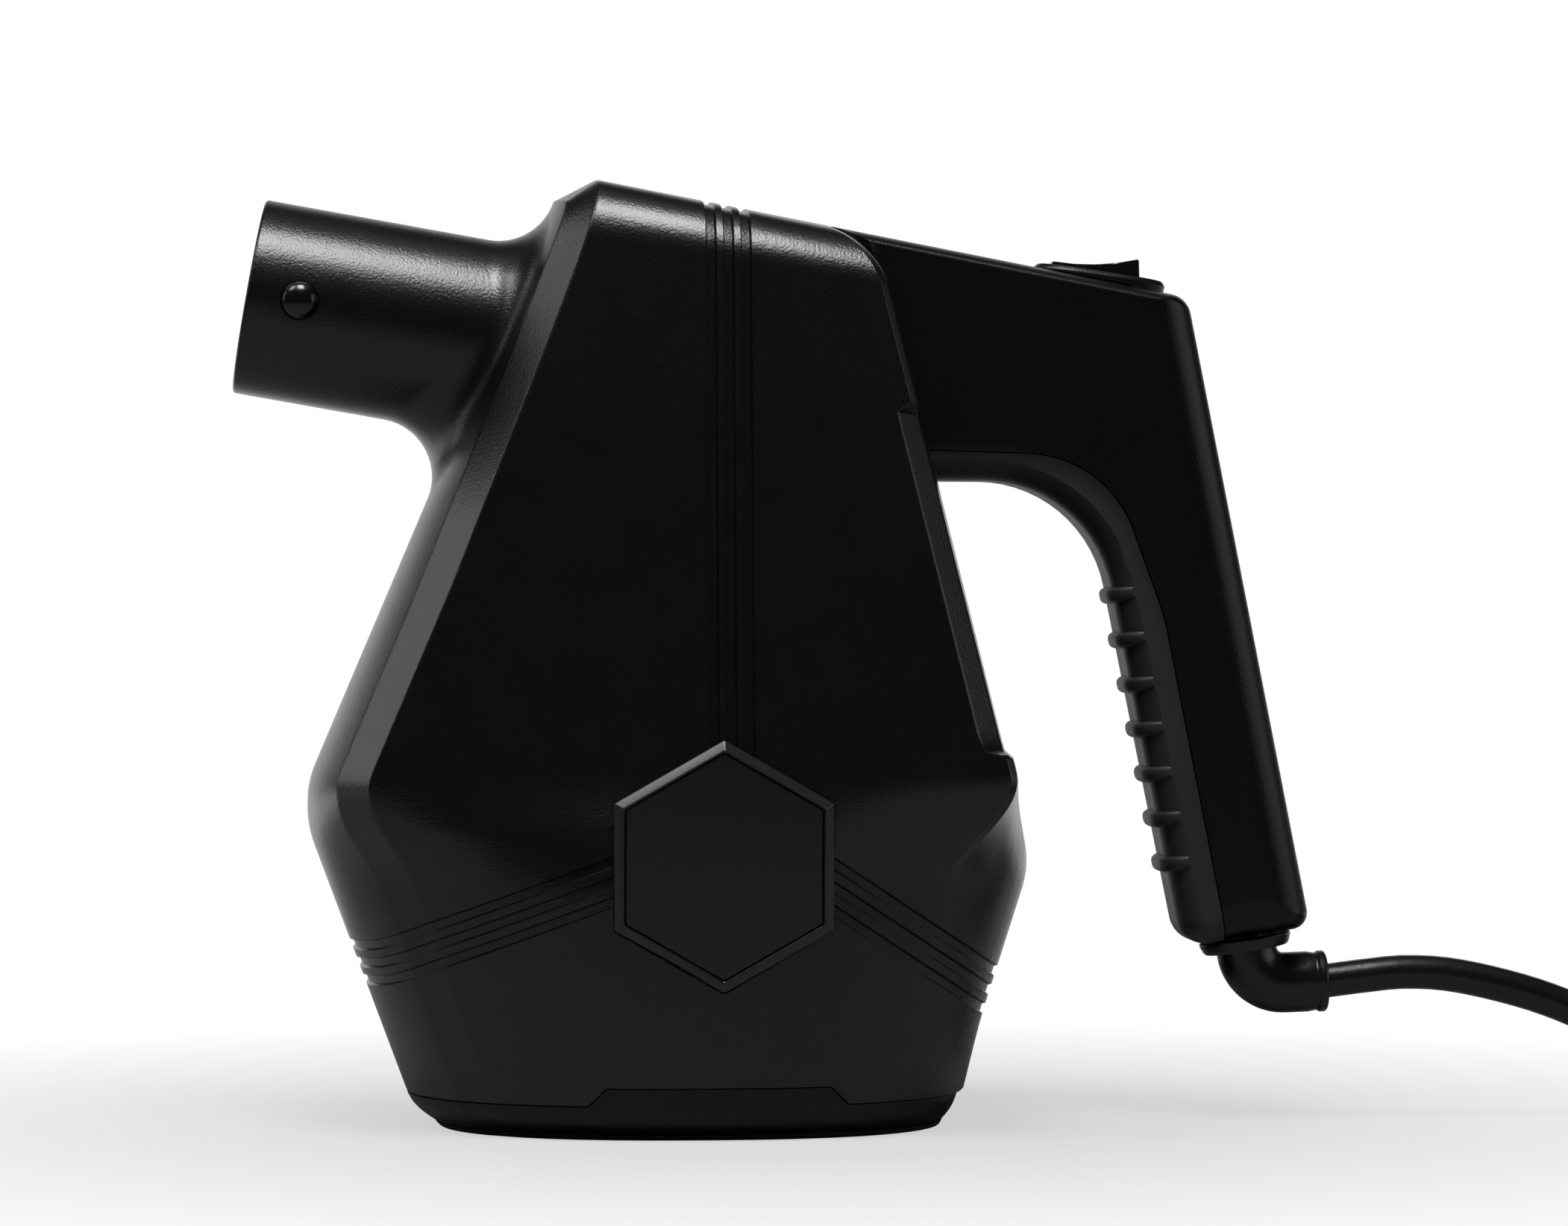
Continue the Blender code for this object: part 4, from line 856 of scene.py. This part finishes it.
def tongue_outline(grow=0.0, foot=7.0):
    """The side view of the cover's tongue, from its foot up and round."""
    low, high, rise = TONGUE
    start, stop = low - TONGUE_RUN - grow, high + TONGUE_RUN + grow
    return [(start, foot), (stop, foot), (stop, TONGUE_SHOULDER + grow), (high + grow, rise + grow),
            (low - grow, rise + grow), (start, TONGUE_SHOULDER + grow)]


def seam_cutter():
    """A shallow step along the shells' foot and round the cover's tongues."""
    edge = SHELL_FOOT + SEAM[0]
    cutter = slab("seam", [(-200, -20), (200, -20), (200, edge), (-200, edge)], -90, 90)
    unite(cutter, slab("tongue", tongue_outline(GAP + SEAM[0]), -90, 90))
    return cut(cutter, body_solid("core", SEAM[1], foot=-30))


def root_block(grow):
    """The tongue on the handle's root that passes through the body's rear wall."""
    return slab("root", [(24 - grow, 216 + grow), (43 + grow, 213 + grow), (52 + grow, 178 - grow),
                         (32 - grow, 178 - grow)], -11 - grow, 11 + grow)


def body_casing():
    """The casing in one: hollow, with its nozzle, the motor's two carriers and every opening."""
    casing = body_solid("casing")
    cut_grooves(casing)
    cut(casing, seam_cutter())
    unite(casing, nozzle_solid())
    cut(casing, body_solid("hollow", WALL, levels=HOLLOW_LEVELS),
        rod("bore", NOZZLE_TIP + NOZZLE_OUT * 5, -NOZZLE_OUT, NOZZLE_BORE_R, 92, 96),
        turned("mouth", [(0, -3), (NOZZLE_BORE_R + MOUTH_FLARE, -3), (NOZZLE_BORE_R, 0.6), (0, 0.6)],
               NOZZLE_TIP, -NOZZLE_OUT, 96))
    plate = loft("bulkhead", [body_ring(level, WALL / 2) for level in BULKHEAD])
    unite(casing, cut(plate, rod("inlet", (MOTOR_X, 0, 10), (0, 0, 1), INLET_R, 30)))
    reach = half_width(MOTOR_X, 162) - WALL / 2
    unite(casing, block("shelf", (MOTOR_X - SHELF_HALF, -reach, SHELF[0]),
                        (MOTOR_X + SHELF_HALF, reach, SHELF[1])))
    pocket = [(BADGE_R + GAP, BADGE_FLOOR - GAP), (BADGE_R + GAP, BADGE_FACE + 5)]
    for side, _ in SIDES:
        out = (0, side, 0)
        cut(casing, slab("notch", tongue_outline(GAP, foot=-1), side * 45, side * 75),
            hexagon("pocket", side, pocket), rod("seat", pin_foot(side), out, PIN_R + GAP, 9),
            rod("hole", pin_foot(side) - Vector(out) * 9, out, PIN_STEM_R + GAP, 12))
    return cut(casing, root_block(GAP))


def screwed_halves(casing, limit, stem, screws, reaches, radius):
    """Splits a casing into finished halves with screw posts, which end inside the wall where limit ends.

    The posts are plain on the left and counterbored on the right."""
    for side, name in SIDES:
        half = split(copy_of(casing, "half"), side)
        out = (0, side, 0)
        for (x, z), reach in zip(screws, reaches):
            post = rod("post", (x, side * GAP / 2, z), out, radius, reach - GAP / 2, 32)
            unite(half, keep_inside(post, copy_of(limit, "limit")))
            if side < 0:
                cut(half, rod("pilot", (x, 1, z), out, PILOT_R, 13, 24))
            else:
                cut(half, rod("through", (x, -1, z), out, THROUGH_R, 20, 24),
                    rod("recess", (x, HEAD_SEAT, z), out, RECESS_R, 90, 40))
        finish(half, f"{stem}_{name}")
    for spare in (casing, limit):
        bpy.data.objects.remove(spare, do_unlink=True)


def body_shells():
    reaches = [half_width(x, z) - WALL / 2 for x, z in BODY_SCREWS]
    screwed_halves(body_casing(), body_solid("limit", WALL / 2), "body_shell", BODY_SCREWS, reaches, 5.0)


# ---- intake cover and pad

COVER_REAR_STEP = 0.02
COVER_REAR_FULL = 0.0075
COVER_FOOT = (1.6, 8.7, 4.4)  # heights of the foot and the rim, and how far the foot is drawn in
SLOTS = 11
SLOT_PITCH, SLOT_WIDTH, SLOT_ROUND = 8.0, 3.6, 1.7
SLOTS_REACH = 52.0
PAD = ((0, 5.2), (0.25, 4.9), (1.0, 4.5), (1.3, 4.4), (1.3, 10), (0, 10))  # height and inset


def cover_ring(z, inset):
    """A ring of the cover's outside: the body's oval, set in a little at the rear."""
    ring = body_ring(z, inset)
    middle = (ring[0].x + ring[len(ring) // 2].x) / 2
    return [Vector((p.x + max(0, p.x - middle) * (inset * COVER_REAR_FULL - COVER_REAR_STEP), p.y, z))
            for p in ring]


def cover_loft(name, levels, inset):
    return loft(name, [cover_ring(z, inset) for z in levels])


def intake_cover():
    foot, rim, deep = COVER_FOOT
    cover = loft("cover", [cover_ring(foot + (rim - foot) * (1 - u), deep * u ** 2.2)
                           for u in (1 - k / 12 for k in range(13))])
    unite(cover, cover_loft("spigot", (6.5, 13.0), WALL + 0.4))
    for side, _ in SIDES:
        tongue = cover_loft("tongue", (7.6, TONGUE[2]), 0.05)
        unite(cover, keep_inside(tongue, slab("outline", tongue_outline(), side * 48, side * 75)))
    cut(cover, cover_loft("tray", (4.4, 20), WALL + 2.6))
    for k in range(SLOTS):
        y = (k - (SLOTS - 1) / 2) * SLOT_PITCH
        run = math.sqrt(SLOTS_REACH ** 2 - y ** 2)
        x0, x1, y0, y1 = MOTOR_X - run, MOTOR_X + run, y - SLOT_WIDTH / 2, y + SLOT_WIDTH / 2
        corners = (x0, y0), (x1, y0), (x1, y1), (x0, y1)
        outline = rounded([(*corner, SLOT_ROUND) for corner in corners], 8)
        cut(cover, loft("slot", [[(*spot, z) for spot in outline] for z in (-1, 8)]))
    finish(cover, "intake_cover")


def base_pad():
    finish(loft("pad", [cover_ring(z, inset) for z, inset in PAD], ends=False), "base_pad")


# ---- handle

HANDLE_TOP_AT_AXIS = 234.4
# The outline as x, z and rounding, from the top of the root round to its underside.
HANDLE = [(12, 232.1, 0), (105.0, 214.0, 6.5), (137.1, 50.4, 4.5), (103.6, 45.0, 7.5), (79.3, 166.2, 34),
          (30, 166.4, 0)]
HANDLE_HOLLOW = [(29, 228.8, 0), *HANDLE[1:4], (79.3, 166.2, 20), (46, 166.4, 0)]
HANDLE_HALF = 17.0
HANDLE_ROUND = 10.0
ROUND_SHARES = (0.3, 1, 1, 1, 1, 1)  # how far the rounding of the sides reaches over each edge of the outline
HANDLE_WALL = 2.6
RUBBER_THICK = 3.0
GRIP_EDGE = [(20, 174.7, 0), (83, 172.7, 30), (98, 131, 60), (115.5, 42, 0)]
GRIP_AXIS = Vector((0.193, 0, -0.981))
END_AXIS = Vector((0.1591, 0, -0.98726))  # square to the handle's lower end
RIBS = 7
RIB_FIRST = Vector((85.6, 0, 136.6))
RIB_PITCH = 11.86
RIB_PROUD = 2.1
RIB_HALF = 2.4
RIB_BURY = 1.3  # how far a rib's middle line lies under the grip's skin
RIB_WRAP = math.radians(74)
CHANNEL_ROUND = 8.0
CHANNEL_DEPTH = 1.3


def grip_edge():
    """The line along which the rubber meets the hard handle."""
    return rounded(GRIP_EDGE, 24, open_ends=True)


def pillow(name, corners, inset=0.0):
    """A handle outline filled to both sides, with its long edges rounded over."""
    radius = max(HANDLE_ROUND - inset, 2.0)
    half = HANDLE_HALF - inset
    rings = []
    for share in shares(10):
        angle = math.pi / 2 * (1 - share)
        reach = radius * (1 - math.cos(angle))
        insets = [inset + reach * part for part in ROUND_SHARES]
        outline = rounded(offset_corners(corners, inset + reach, insets), 14)
        rings.append([(x, -(half - radius + radius * math.sin(angle)), z) for x, z in outline])
    rings += [[(x, -y, z) for x, y, z in ring] for ring in reversed(rings)]
    return loft(name, rings)


def grip_zone(shift):
    """The part of the handle that the rubber covers, as a slab; shift moves its edge toward the fingers."""
    edge = [(x - shift * 0.9, z - shift) for x, z in grip_edge()]
    return slab("zone", edge + [(20, 20)], -30, 30)


def cord_hole():
    return rod("cord_hole", elbow_mouth() + END_AXIS * 6, -END_AXIS, 8.4, 16)


def handle_halves():
    casing = pillow("handle", HANDLE)
    cut(casing, grip_zone(0))
    unite(casing, keep_inside(pillow("core", HANDLE, RUBBER_THICK + GAP), grip_zone(-1.5)))
    cut(casing, pillow("hollow", HANDLE_HOLLOW, RUBBER_THICK + GAP + HANDLE_WALL - 0.4),
        body_solid("body", -GAP))
    unite(casing, root_block(0))
    cut(casing, rod("lead_hole", (18, 0, 200), (1, 0, -0.15), 4, 50), cord_hole(),
        switch_block("opening", (-13.2, -7.7, -9), (13.2, 7.7, 4)))
    reaches = [HANDLE_HALF - HANDLE_WALL / 2] * len(HANDLE_SCREWS)
    screwed_halves(casing, pillow("limit", HANDLE, 1.0), "handle", HANDLE_SCREWS, reaches, 4.4)


def rib(spot):
    """One finger rib: a bar that wraps the front of the grip and runs out on both sides."""
    front = Vector((-GRIP_AXIS.z, 0, GRIP_AXIS.x))
    flat = HANDLE_HALF - HANDLE_ROUND
    whole = flat + HANDLE_ROUND * RIB_WRAP
    rings = []
    for k in range(1, 40):
        along = (k / 20 - 1) * whole
        turn = math.copysign(max(abs(along) - flat, 0) / HANDLE_ROUND, along)
        out = front * -math.cos(turn) + Vector((0, math.sin(turn), 0))
        across = max(-flat, min(flat, along)) + HANDLE_ROUND * math.sin(turn)
        skin = spot + front * (HANDLE_ROUND * (1 - math.cos(turn))) + Vector((0, across, 0))
        lens = math.sqrt(1 - (along / whole) ** 2)
        centre = skin - out * RIB_BURY
        deep, half = RIB_BURY + RIB_PROUD * lens - 0.8 * (1 - lens), RIB_HALF * (0.3 + 0.7 * lens)
        rings.append([centre + out * (deep * a) + GRIP_AXIS * (half * b) for a, b in soft_oval(32)])
    return loft("rib", rings)


def channel(side):
    """The shallow valley that runs along the rubber's edge."""
    y = side * (HANDLE_HALF + CHANNEL_ROUND - CHANNEL_DEPTH)
    path = [Vector((x - 3.3, y, z - 3.6)) for x, z in grip_edge()]
    return tube("channel", path, [CHANNEL_ROUND] * len(path))


def rubber_grip():
    grip = pillow("grip", HANDLE)
    unite(grip, *[rib(RIB_FIRST + GRIP_AXIS * (k * RIB_PITCH)) for k in range(RIBS)])
    keep_inside(grip, grip_zone(GAP))
    cut(grip, pillow("core", HANDLE, RUBBER_THICK), body_solid("body", -GAP), cord_hole())
    cut(grip, channel(-1), channel(1))
    finish(grip, "rubber_grip")


# ---- switch

SWITCH_X = 81.8
ROCKER_TURN = math.radians(12.5)
ROCKER_HALF = 11.4
ROCKER_PIVOT = -2.0
SWITCH_ALONG = Vector((1, 0, -TOP_SLOPE)).normalized()
SWITCH_UP = Vector((-SWITCH_ALONG.z, 0, SWITCH_ALONG.x))
SWITCH_SEAT = Vector((SWITCH_X, 0, HANDLE_TOP_AT_AXIS - TOP_SLOPE * SWITCH_X))
BEZEL_RISE = 0.045  # slope of the frame's face toward the rear
# Half length, half width, height and slope of each ring of the frame.
BEZEL = [(17.3, 9.8, GAP, 0.0), (17.3, 9.8, 1.2, BEZEL_RISE), (17.1, 9.6, 1.6, BEZEL_RISE),
         (16.5, 9.1, 2.25, BEZEL_RISE), (16.2, 8.8, 2.4, BEZEL_RISE)]
# The rocker's outline along and above its pivot, with roundings, and its place across with the inset there.
ROCKER = [(-ROCKER_HALF, 7.3, 0.5), (-5.7, 6.5, 8), (0, 6.2, 20), (5.7, 6.5, 8), (ROCKER_HALF, 7.3, 0.5),
          (ROCKER_HALF, 2.2, 1), (6, -3, 1), (0, -3.8, 4), (-6, -3, 1), (-ROCKER_HALF, 2.2, 1)]
ROCKER_EDGES = ((-5.7, 0.5), (-5.55, 0.15), (-5.2, 0.0), (5.2, 0.0), (5.55, 0.15), (5.7, 0.5))


def on_switch(along, across, up):
    return SWITCH_SEAT + SWITCH_ALONG * along + Vector((0, across, 0)) + SWITCH_UP * up


def switch_block(name, low, high):
    """A block in the switch's directions: along, across and up."""
    flat = [(low[0], low[1]), (high[0], low[1]), (high[0], high[1]), (low[0], high[1])]
    return loft(name, [[on_switch(a, b, h) for a, b in flat] for h in (low[2], high[2])])


def switch():
    rings = [[on_switch(long * a + 0.6, wide * b, up + slope * (long * a)) for a, b in soft_oval(96)]
             for long, wide, up, slope in BEZEL]
    bezel = loft("bezel", rings)
    cut(bezel, switch_block("window", (-13.0, -6.1, -3), (13.0, 6.1, 6)))
    finish(bezel, "switch_bezel")
    pivot = SWITCH_SEAT + SWITCH_UP * ROCKER_PIVOT
    turn = Matrix.Rotation(-ROCKER_TURN, 3, "Y")
    outline = [Vector(p) for p in rounded(ROCKER, 5)]
    middle = Vector((0, 1.5))
    rings = []
    for y, inset in ROCKER_EDGES:
        flat = [p + (middle - p).normalized() * inset for p in outline]
        rings.append([pivot + turn @ (SWITCH_ALONG * p.x + SWITCH_UP * p.y) + Vector((0, y, 0))
                      for p in flat])
    finish(loft("rocker", rings), "rocker")


# ---- elbow

ELBOW_X = 120.9
ELBOW_R = 7.9
ELBOW_CENTRE, ELBOW_BEND = Vector((131.0, 0, 44.9)), 9.5
ELBOW_TURN = (math.atan2(GRIP_AXIS.z, GRIP_AXIS.x), math.radians(2))
# Distance past the bend and radius: the sleeve, a groove and the lip round the cord.
SLEEVE = ((6.0, 7.9), (7.6, 7.6), (8.0, 7.55), (8.4, 7.6), (9.0, 8.0), (10.2, 8.0), (10.6, 7.8), (10.9, 7.4))
COLLAR = [(0, GAP), (11.6, GAP), (12.0, 0.7), (12.0, 1.3), (11.3, 3.0), (10.8, 3.6), (10.4, 3.7), (0, 3.7)]


def elbow_mouth():
    """Where the elbow's collar meets the handle's lower end."""
    (x0, z0, _), (x1, z1, _) = HANDLE[2:4]
    return Vector((ELBOW_X, 0, z1 + (z0 - z1) * (ELBOW_X - x1) / (x0 - x1)))


def cord_elbow():
    """The rubber elbow under the handle: a collar, a tight bend and a sleeve with a lip round the cord."""
    start = elbow_mouth()
    turn_from, turn_to = ELBOW_TURN
    path = [start - GRIP_AXIS * 5]
    for k in range(25):
        angle = turn_from + (turn_to - turn_from) * k / 24 - math.pi / 2
        path.append(ELBOW_CENTRE + Vector((math.cos(angle), 0, math.sin(angle))) * ELBOW_BEND)
    ahead = Vector((math.cos(turn_to), 0, math.sin(turn_to)))
    radii = [ELBOW_R] * len(path) + [size for _, size in SLEEVE]
    path += [path[-1] + ahead * run for run, _ in SLEEVE]
    elbow = tube("elbow", path, radii)
    unite(elbow, turned("collar", COLLAR, start, END_AXIS, 80))
    cut(elbow, rod("mouth", path[-1] - ahead * 8, ahead, CORD_D / 2 + 0.4, 12))
    finish(elbow, "cord_elbow")


# ---- strap and plug

TIE_HALF, TIE_SKIN = 6.0, 1.2
COIL_INSIDE, COIL_OUTSIDE, COIL_HIGH = 35.9, 72.3, 27.4
PLUG_AT = Vector((351.5, 47.5, 41.0))  # where the cord enters
PLUG_LONG = 54
BLADE_APART = 6.35  # a blade's distance from the plug's middle
PIN_DOWN = Vector((0, 0, -6.0))
GROUND_PIN = [(0, -5), (2.4, -5), (2.4, 18.5), (2.1, 19.6), (1.2, 20.5), (0, 20.5)]
# Distance from the cord's entry, half width and half height: the plug's body past its strain relief.
PLUG_BODY = [(22, 7.2, 7.2), (24, 9.4, 8.8), (26, 12.0, 10.8), (29, 13.4, 11.9), (34, 14.5, 12.8),
             (42, 14.9, 12.9), (52, 15.5, 13.2), (53.4, 15.3, 13.0), (PLUG_LONG, 14.9, 12.6)]


def coil_tie():
    """The strap round the coil's turns."""
    x0, x1 = COIL_AT.x - COIL_OUTSIDE, COIL_AT.x - math.sqrt(COIL_INSIDE ** 2 - TIE_HALF ** 2) + 0.1

    def arch(skin, radius):
        """One end down, over the turns with rounded shoulders and down again."""
        left, right, high = x0 - GAP - skin, x1 + GAP + skin, COIL_HIGH + GAP + skin
        return [(left, 0, 0), (left, high, radius), (right, high, radius), (right, 0, 0)]

    outer, inner = arch(TIE_SKIN, 4), arch(0, 3)
    outline = rounded([outer[0], *inner, outer[3], outer[2], outer[1]], 8)
    finish(slab("tie", outline, COIL_AT.y - TIE_HALF, COIL_AT.y + TIE_HALF), "coil_tie")


def plug():
    """A moulded three-pin plug with a ribbed strain relief."""
    sizes = [(0, 5.0, 5.0), (0.4, 5.2, 5.2)]
    for k in range(5):
        for run, size in ((0, 5.3), (0.4, 4.9), (1.6, 4.9), (2.0, 5.4)):
            sizes.append((2 + 4 * k + run, size + 0.45 * k, size + 0.45 * k))
    body = loft("plug", [[PLUG_AT + Vector((half_x * a, y, half_z * b)) for a, b in soft_oval(64)]
                         for y, half_x, half_z in sizes + PLUG_BODY])
    face, ahead, edge = PLUG_AT + Vector((0, PLUG_LONG, 0)), Vector((0, 1, 0)), Vector((GAP, GAP, GAP))
    for dx in (-BLADE_APART, BLADE_APART):
        low, high = face + Vector((dx - 0.75, -5, -0.5)), face + Vector((dx + 0.75, 17, 5.85))
        cut(body, block("slot", low - edge, high + edge))
    cut(body, rod("bore", face + PIN_DOWN - ahead * (5 + GAP), ahead, 2.4 + GAP, 20),
        rod("cord_seat", PLUG_AT - ahead, ahead, CORD_D / 2 + GAP, 4))
    finish(body, "plug_body")
    finish(turned("pin", GROUND_PIN, face + PIN_DOWN, ahead, 40), "plug_ground_pin")


# ---- cord

CORD_D = 8.9
COIL_AT = Vector((298.0, 55.0, 0))
CORD_ROUTE = [(142.6, 0, 35.8), (153, 0, 37.1), (163, 0, 38.0), (175, 0, 37.3), (190, 0, 34.1),
              (204, 0, 29.6), (220, -1.2, 22.4), (236, -4.2, 14.0), (247, -6.9, 8.8), (256, -9.0, 6.0),
              (270, -11.4, 4.8), (284, -12.5, 4.5)]
TAIL_ROUTE = [(312.0, 2.6, 32.2), (325.2, 8.0, 32.6), (336.6, 16.6, 33.8), (345.6, 27.4, 36.6),
              (350.4, 37.0, 39.6), (351.5, 47.2, 41.0)]
COLUMNS = [40.4, 49.5, 58.6, 67.7]  # radii of the turns' centres
LAYERS = [4.5, 13.6, 22.7]  # heights of the turns' centres
STEP_ARC = 45  # degrees in which a turn moves over to the next column
COIL_FROM, COIL_TO, COIL_STEP = -90, 3885, 5  # degrees
ROUTE_STEP = 4.0


def coil_turns():
    """The coil's centre line: three layers wound in, out and in again, then up onto the top.

    Each change is (start angle, stop angle, what, value after it)."""
    changes = [(1240, 1300, "height", LAYERS[1]), (2590, 2640, "height", LAYERS[2]),
               (3765, 3837, "height", TAIL_ROUTE[0][2]),
               (3830, COIL_TO, "radius", (Vector(TAIL_ROUTE[0][:2]) - COIL_AT.xy).length)]
    for start, columns in ((220, (2, 1, 0)), (1560, (1, 2, 3)), (2900, (2, 1, 0))):
        for turn, column in enumerate(columns):
            changes.append((start + 360 * turn, start + 360 * turn + STEP_ARC, "radius", COLUMNS[column]))
    points = []
    for angle in range(COIL_FROM, COIL_TO, COIL_STEP):
        now = {"radius": COLUMNS[-1], "height": LAYERS[0]}
        for start, stop, what, value in sorted(changes):
            now[what] += (value - now[what]) * ease((angle - start) / (stop - start))
        turn = math.radians(angle)
        points.append(COIL_AT + Vector((now["radius"] * math.cos(turn), now["radius"] * math.sin(turn),
                                        now["height"])))
    return points


def smooth_line(knots):
    """Points at an even spacing on the Catmull-Rom curve through the knots."""
    knots = [Vector(k) for k in knots]
    padded = [knots[0] * 2 - knots[1]] + knots + [knots[-1] * 2 - knots[-2]]
    line = []
    for a, b, c, d in zip(padded, padded[1:], padded[2:], padded[3:]):
        for t in (k / 12 for k in range(12)):
            line.append((b * 2 + (c - a) * t + (a * 2 - b * 5 + c * 4 - d) * t * t
                         + (b * 3 - a - c * 3 + d) * t ** 3) / 2)
    line.append(knots[-1])
    total = sum((q - p).length for p, q in zip(line, line[1:]))
    count = max(2, round(total / ROUTE_STEP))
    even, gone, target = [line[0]], 0.0, 1
    for p, q in zip(line, line[1:]):
        step = (q - p).length
        while target < count and gone + step >= total * target / count:
            even.append(p.lerp(q, (total * target / count - gone) / step))
            target += 1
        gone += step
    return even + [line[-1]]


def make_cord():
    turns = coil_turns()
    line = smooth_line(CORD_ROUTE + [tuple(turns[0])])[:-1] + turns + smooth_line(TAIL_ROUTE)
    curve = bpy.data.curves.new("mains_cord", "CURVE")
    curve.dimensions = "3D"
    curve.bevel_depth = CORD_D / 2 * MM
    curve.bevel_resolution = 6
    curve.use_fill_caps = True
    spline = curve.splines.new("POLY")
    spline.points.add(len(line) - 1)
    for point, spot in zip(spline.points, line):
        point.co = (*(spot * MM), 1)
    spline.use_smooth = True
    curve.materials.append(CORD_RUBBER)
    cord = link("mains_cord", curve)
    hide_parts("power_cord", "cord_coil", "cord_tail")
    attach(cord, "housing")


# ---- stage, lights and camera

FLOOR_HALF = 9
FLOOR_TONE = 0.28
FLOOR_FADE = (0.1, 0.36)  # distances from the dryer between which the floor turns to plain white
FLOOR_NEAR = 0.6  # share of plain white next to the dryer
FLOOR_BEHIND = (0.1, 0.6)  # distances behind the dryer between which the floor's reflection turns white
ROOM_LEVEL = 0.03
ROOM_BEHIND = (0.75, 1.0)  # share of a direction that points back, where the room turns white
# Name, place, aim, width, height and power in watts.
LAMPS = [("key light", (-0.06, -0.38, 1.15), (-0.08, 0, 0.17), 0.38, 0.5, 11),
         ("upper left light", (-0.62, -0.28, 1.1), (-0.03, 0, 0.1), 0.4, 0.4, 3.8),
         ("ceiling light", (0.0, -0.1, 2.2), (0, 0, 0), 2.6, 2.2, 3),
         ("left light", (-1.42, 0.4, 0.66), (0, 0, 0.12), 1.0, 0.8, 3.7),
         ("right light", (1.5, -0.35, 0.5), (0, 0, 0.12), 1.3, 0.8, 3.0)]


def place_at(thing, at, aim):
    """Puts a camera or a lamp at a place, looking at another."""
    thing.location = at
    thing.rotation_euler = (Vector(aim) - Vector(at)).to_track_quat("-Z", "Y").to_euler()


def make_camera():
    data = bpy.data.cameras.new("camera")
    camera = link("camera", data)
    place_at(camera, CAMERA_AT, CAMERA_AIM)
    data.sensor_width = 36
    data.lens = data.sensor_width * (CAMERA_AIM - CAMERA_AT).length / FRAME_WIDTH
    data.clip_start, data.clip_end = 0.05, 30
    bpy.context.scene.camera = camera


def area_light(name, at, aim, width, height, power):
    data = bpy.data.lights.new(name, "AREA")
    data.shape = "RECTANGLE"
    data.size, data.size_y = width, height
    data.energy = power
    place_at(link(name, data), at, aim)


def seen_white(tree, place, limits):
    """1 for camera and transmission rays, and for glossy rays that meet the part behind the dryer.

    That part is told by the Y of a place or direction, which turns from 0 to 1 between the limits."""
    y = add_node(tree, "SeparateXYZ", {0: place}).outputs["Y"]
    behind = add_node(tree, "MapRange", {"Value": y, "From Min": limits[0], "From Max": limits[1]},
                      interpolation_type="SMOOTHSTEP").outputs["Result"]
    rays = add_node(tree, "LightPath", {}).outputs
    seen = add_node(tree, "Math", {0: rays["Is Glossy Ray"], 1: behind}, operation="MULTIPLY").outputs[0]
    for kind in ("Is Camera Ray", "Is Transmission Ray"):
        seen = add_node(tree, "Math", {0: seen, 1: rays[kind]}, operation="MAXIMUM").outputs[0]
    return seen


def show_white(tree, share, plain, kind, output):
    """Sends the plain shader to the output, mixed with white as the share goes to 1."""
    white = add_node(tree, kind, {"Color": WHITE}).outputs[0]
    mix = add_node(tree, "MixShader", {"Fac": share, 1: plain, 2: white})
    tree.links.new(mix.outputs["Shader"], tree.nodes[output].inputs["Surface"])


def make_stage():
    """A grey floor that keeps the shadow near the dryer and turns to plain white away from it."""
    mesh = bpy.data.meshes.new("floor")
    corners = [(x * FLOOR_HALF, y * FLOOR_HALF, 0) for x, y in ((-1, -1), (1, -1), (1, 1), (-1, 1))]
    mesh.from_pydata(corners, [], [(0, 1, 2, 3)])
    floor = link("floor", mesh)
    matt = Shader("floor", (FLOOR_TONE, FLOOR_TONE, FLOOR_TONE), 0.9)
    away = matt.node("VectorMath", {0: matt.place}, operation="LENGTH").outputs["Value"]
    share = matt.node("Math", {0: matt.spread(away, FLOOR_NEAR, 1, *FLOOR_FADE),
                               1: seen_white(matt.tree, matt.place, FLOOR_BEHIND)}, operation="MULTIPLY")
    show_white(matt.tree, share.outputs[0], matt.shader.outputs["BSDF"], "Emission", "Material Output")
    mesh.materials.append(matt.material)


def make_world():
    """A room that is white behind the dryer and dim in front of it; the camera sees white all round."""
    world = bpy.data.worlds.new("studio")
    world.use_nodes = True
    bpy.context.scene.world = world
    tree = world.node_tree
    room = tree.nodes["Background"]
    feed(tree, room, {"Color": WHITE, "Strength": ROOM_LEVEL})
    share = seen_white(tree, add_node(tree, "TexCoord", {}).outputs["Generated"], ROOM_BEHIND)
    show_white(tree, share, room.outputs["Background"], "Background", "World Output")


make_camera()
dress_nodes()
body_shells()
badges()
bayonet_pins()
intake_cover()
base_pad()
handle_halves()
rubber_grip()
switch()
cord_elbow()
coil_tie()
plug()
make_cord()
make_stage()
make_world()
for lamp in LAMPS:
    area_light(*lamp)

bpy.context.scene.view_settings.view_transform = "Standard"
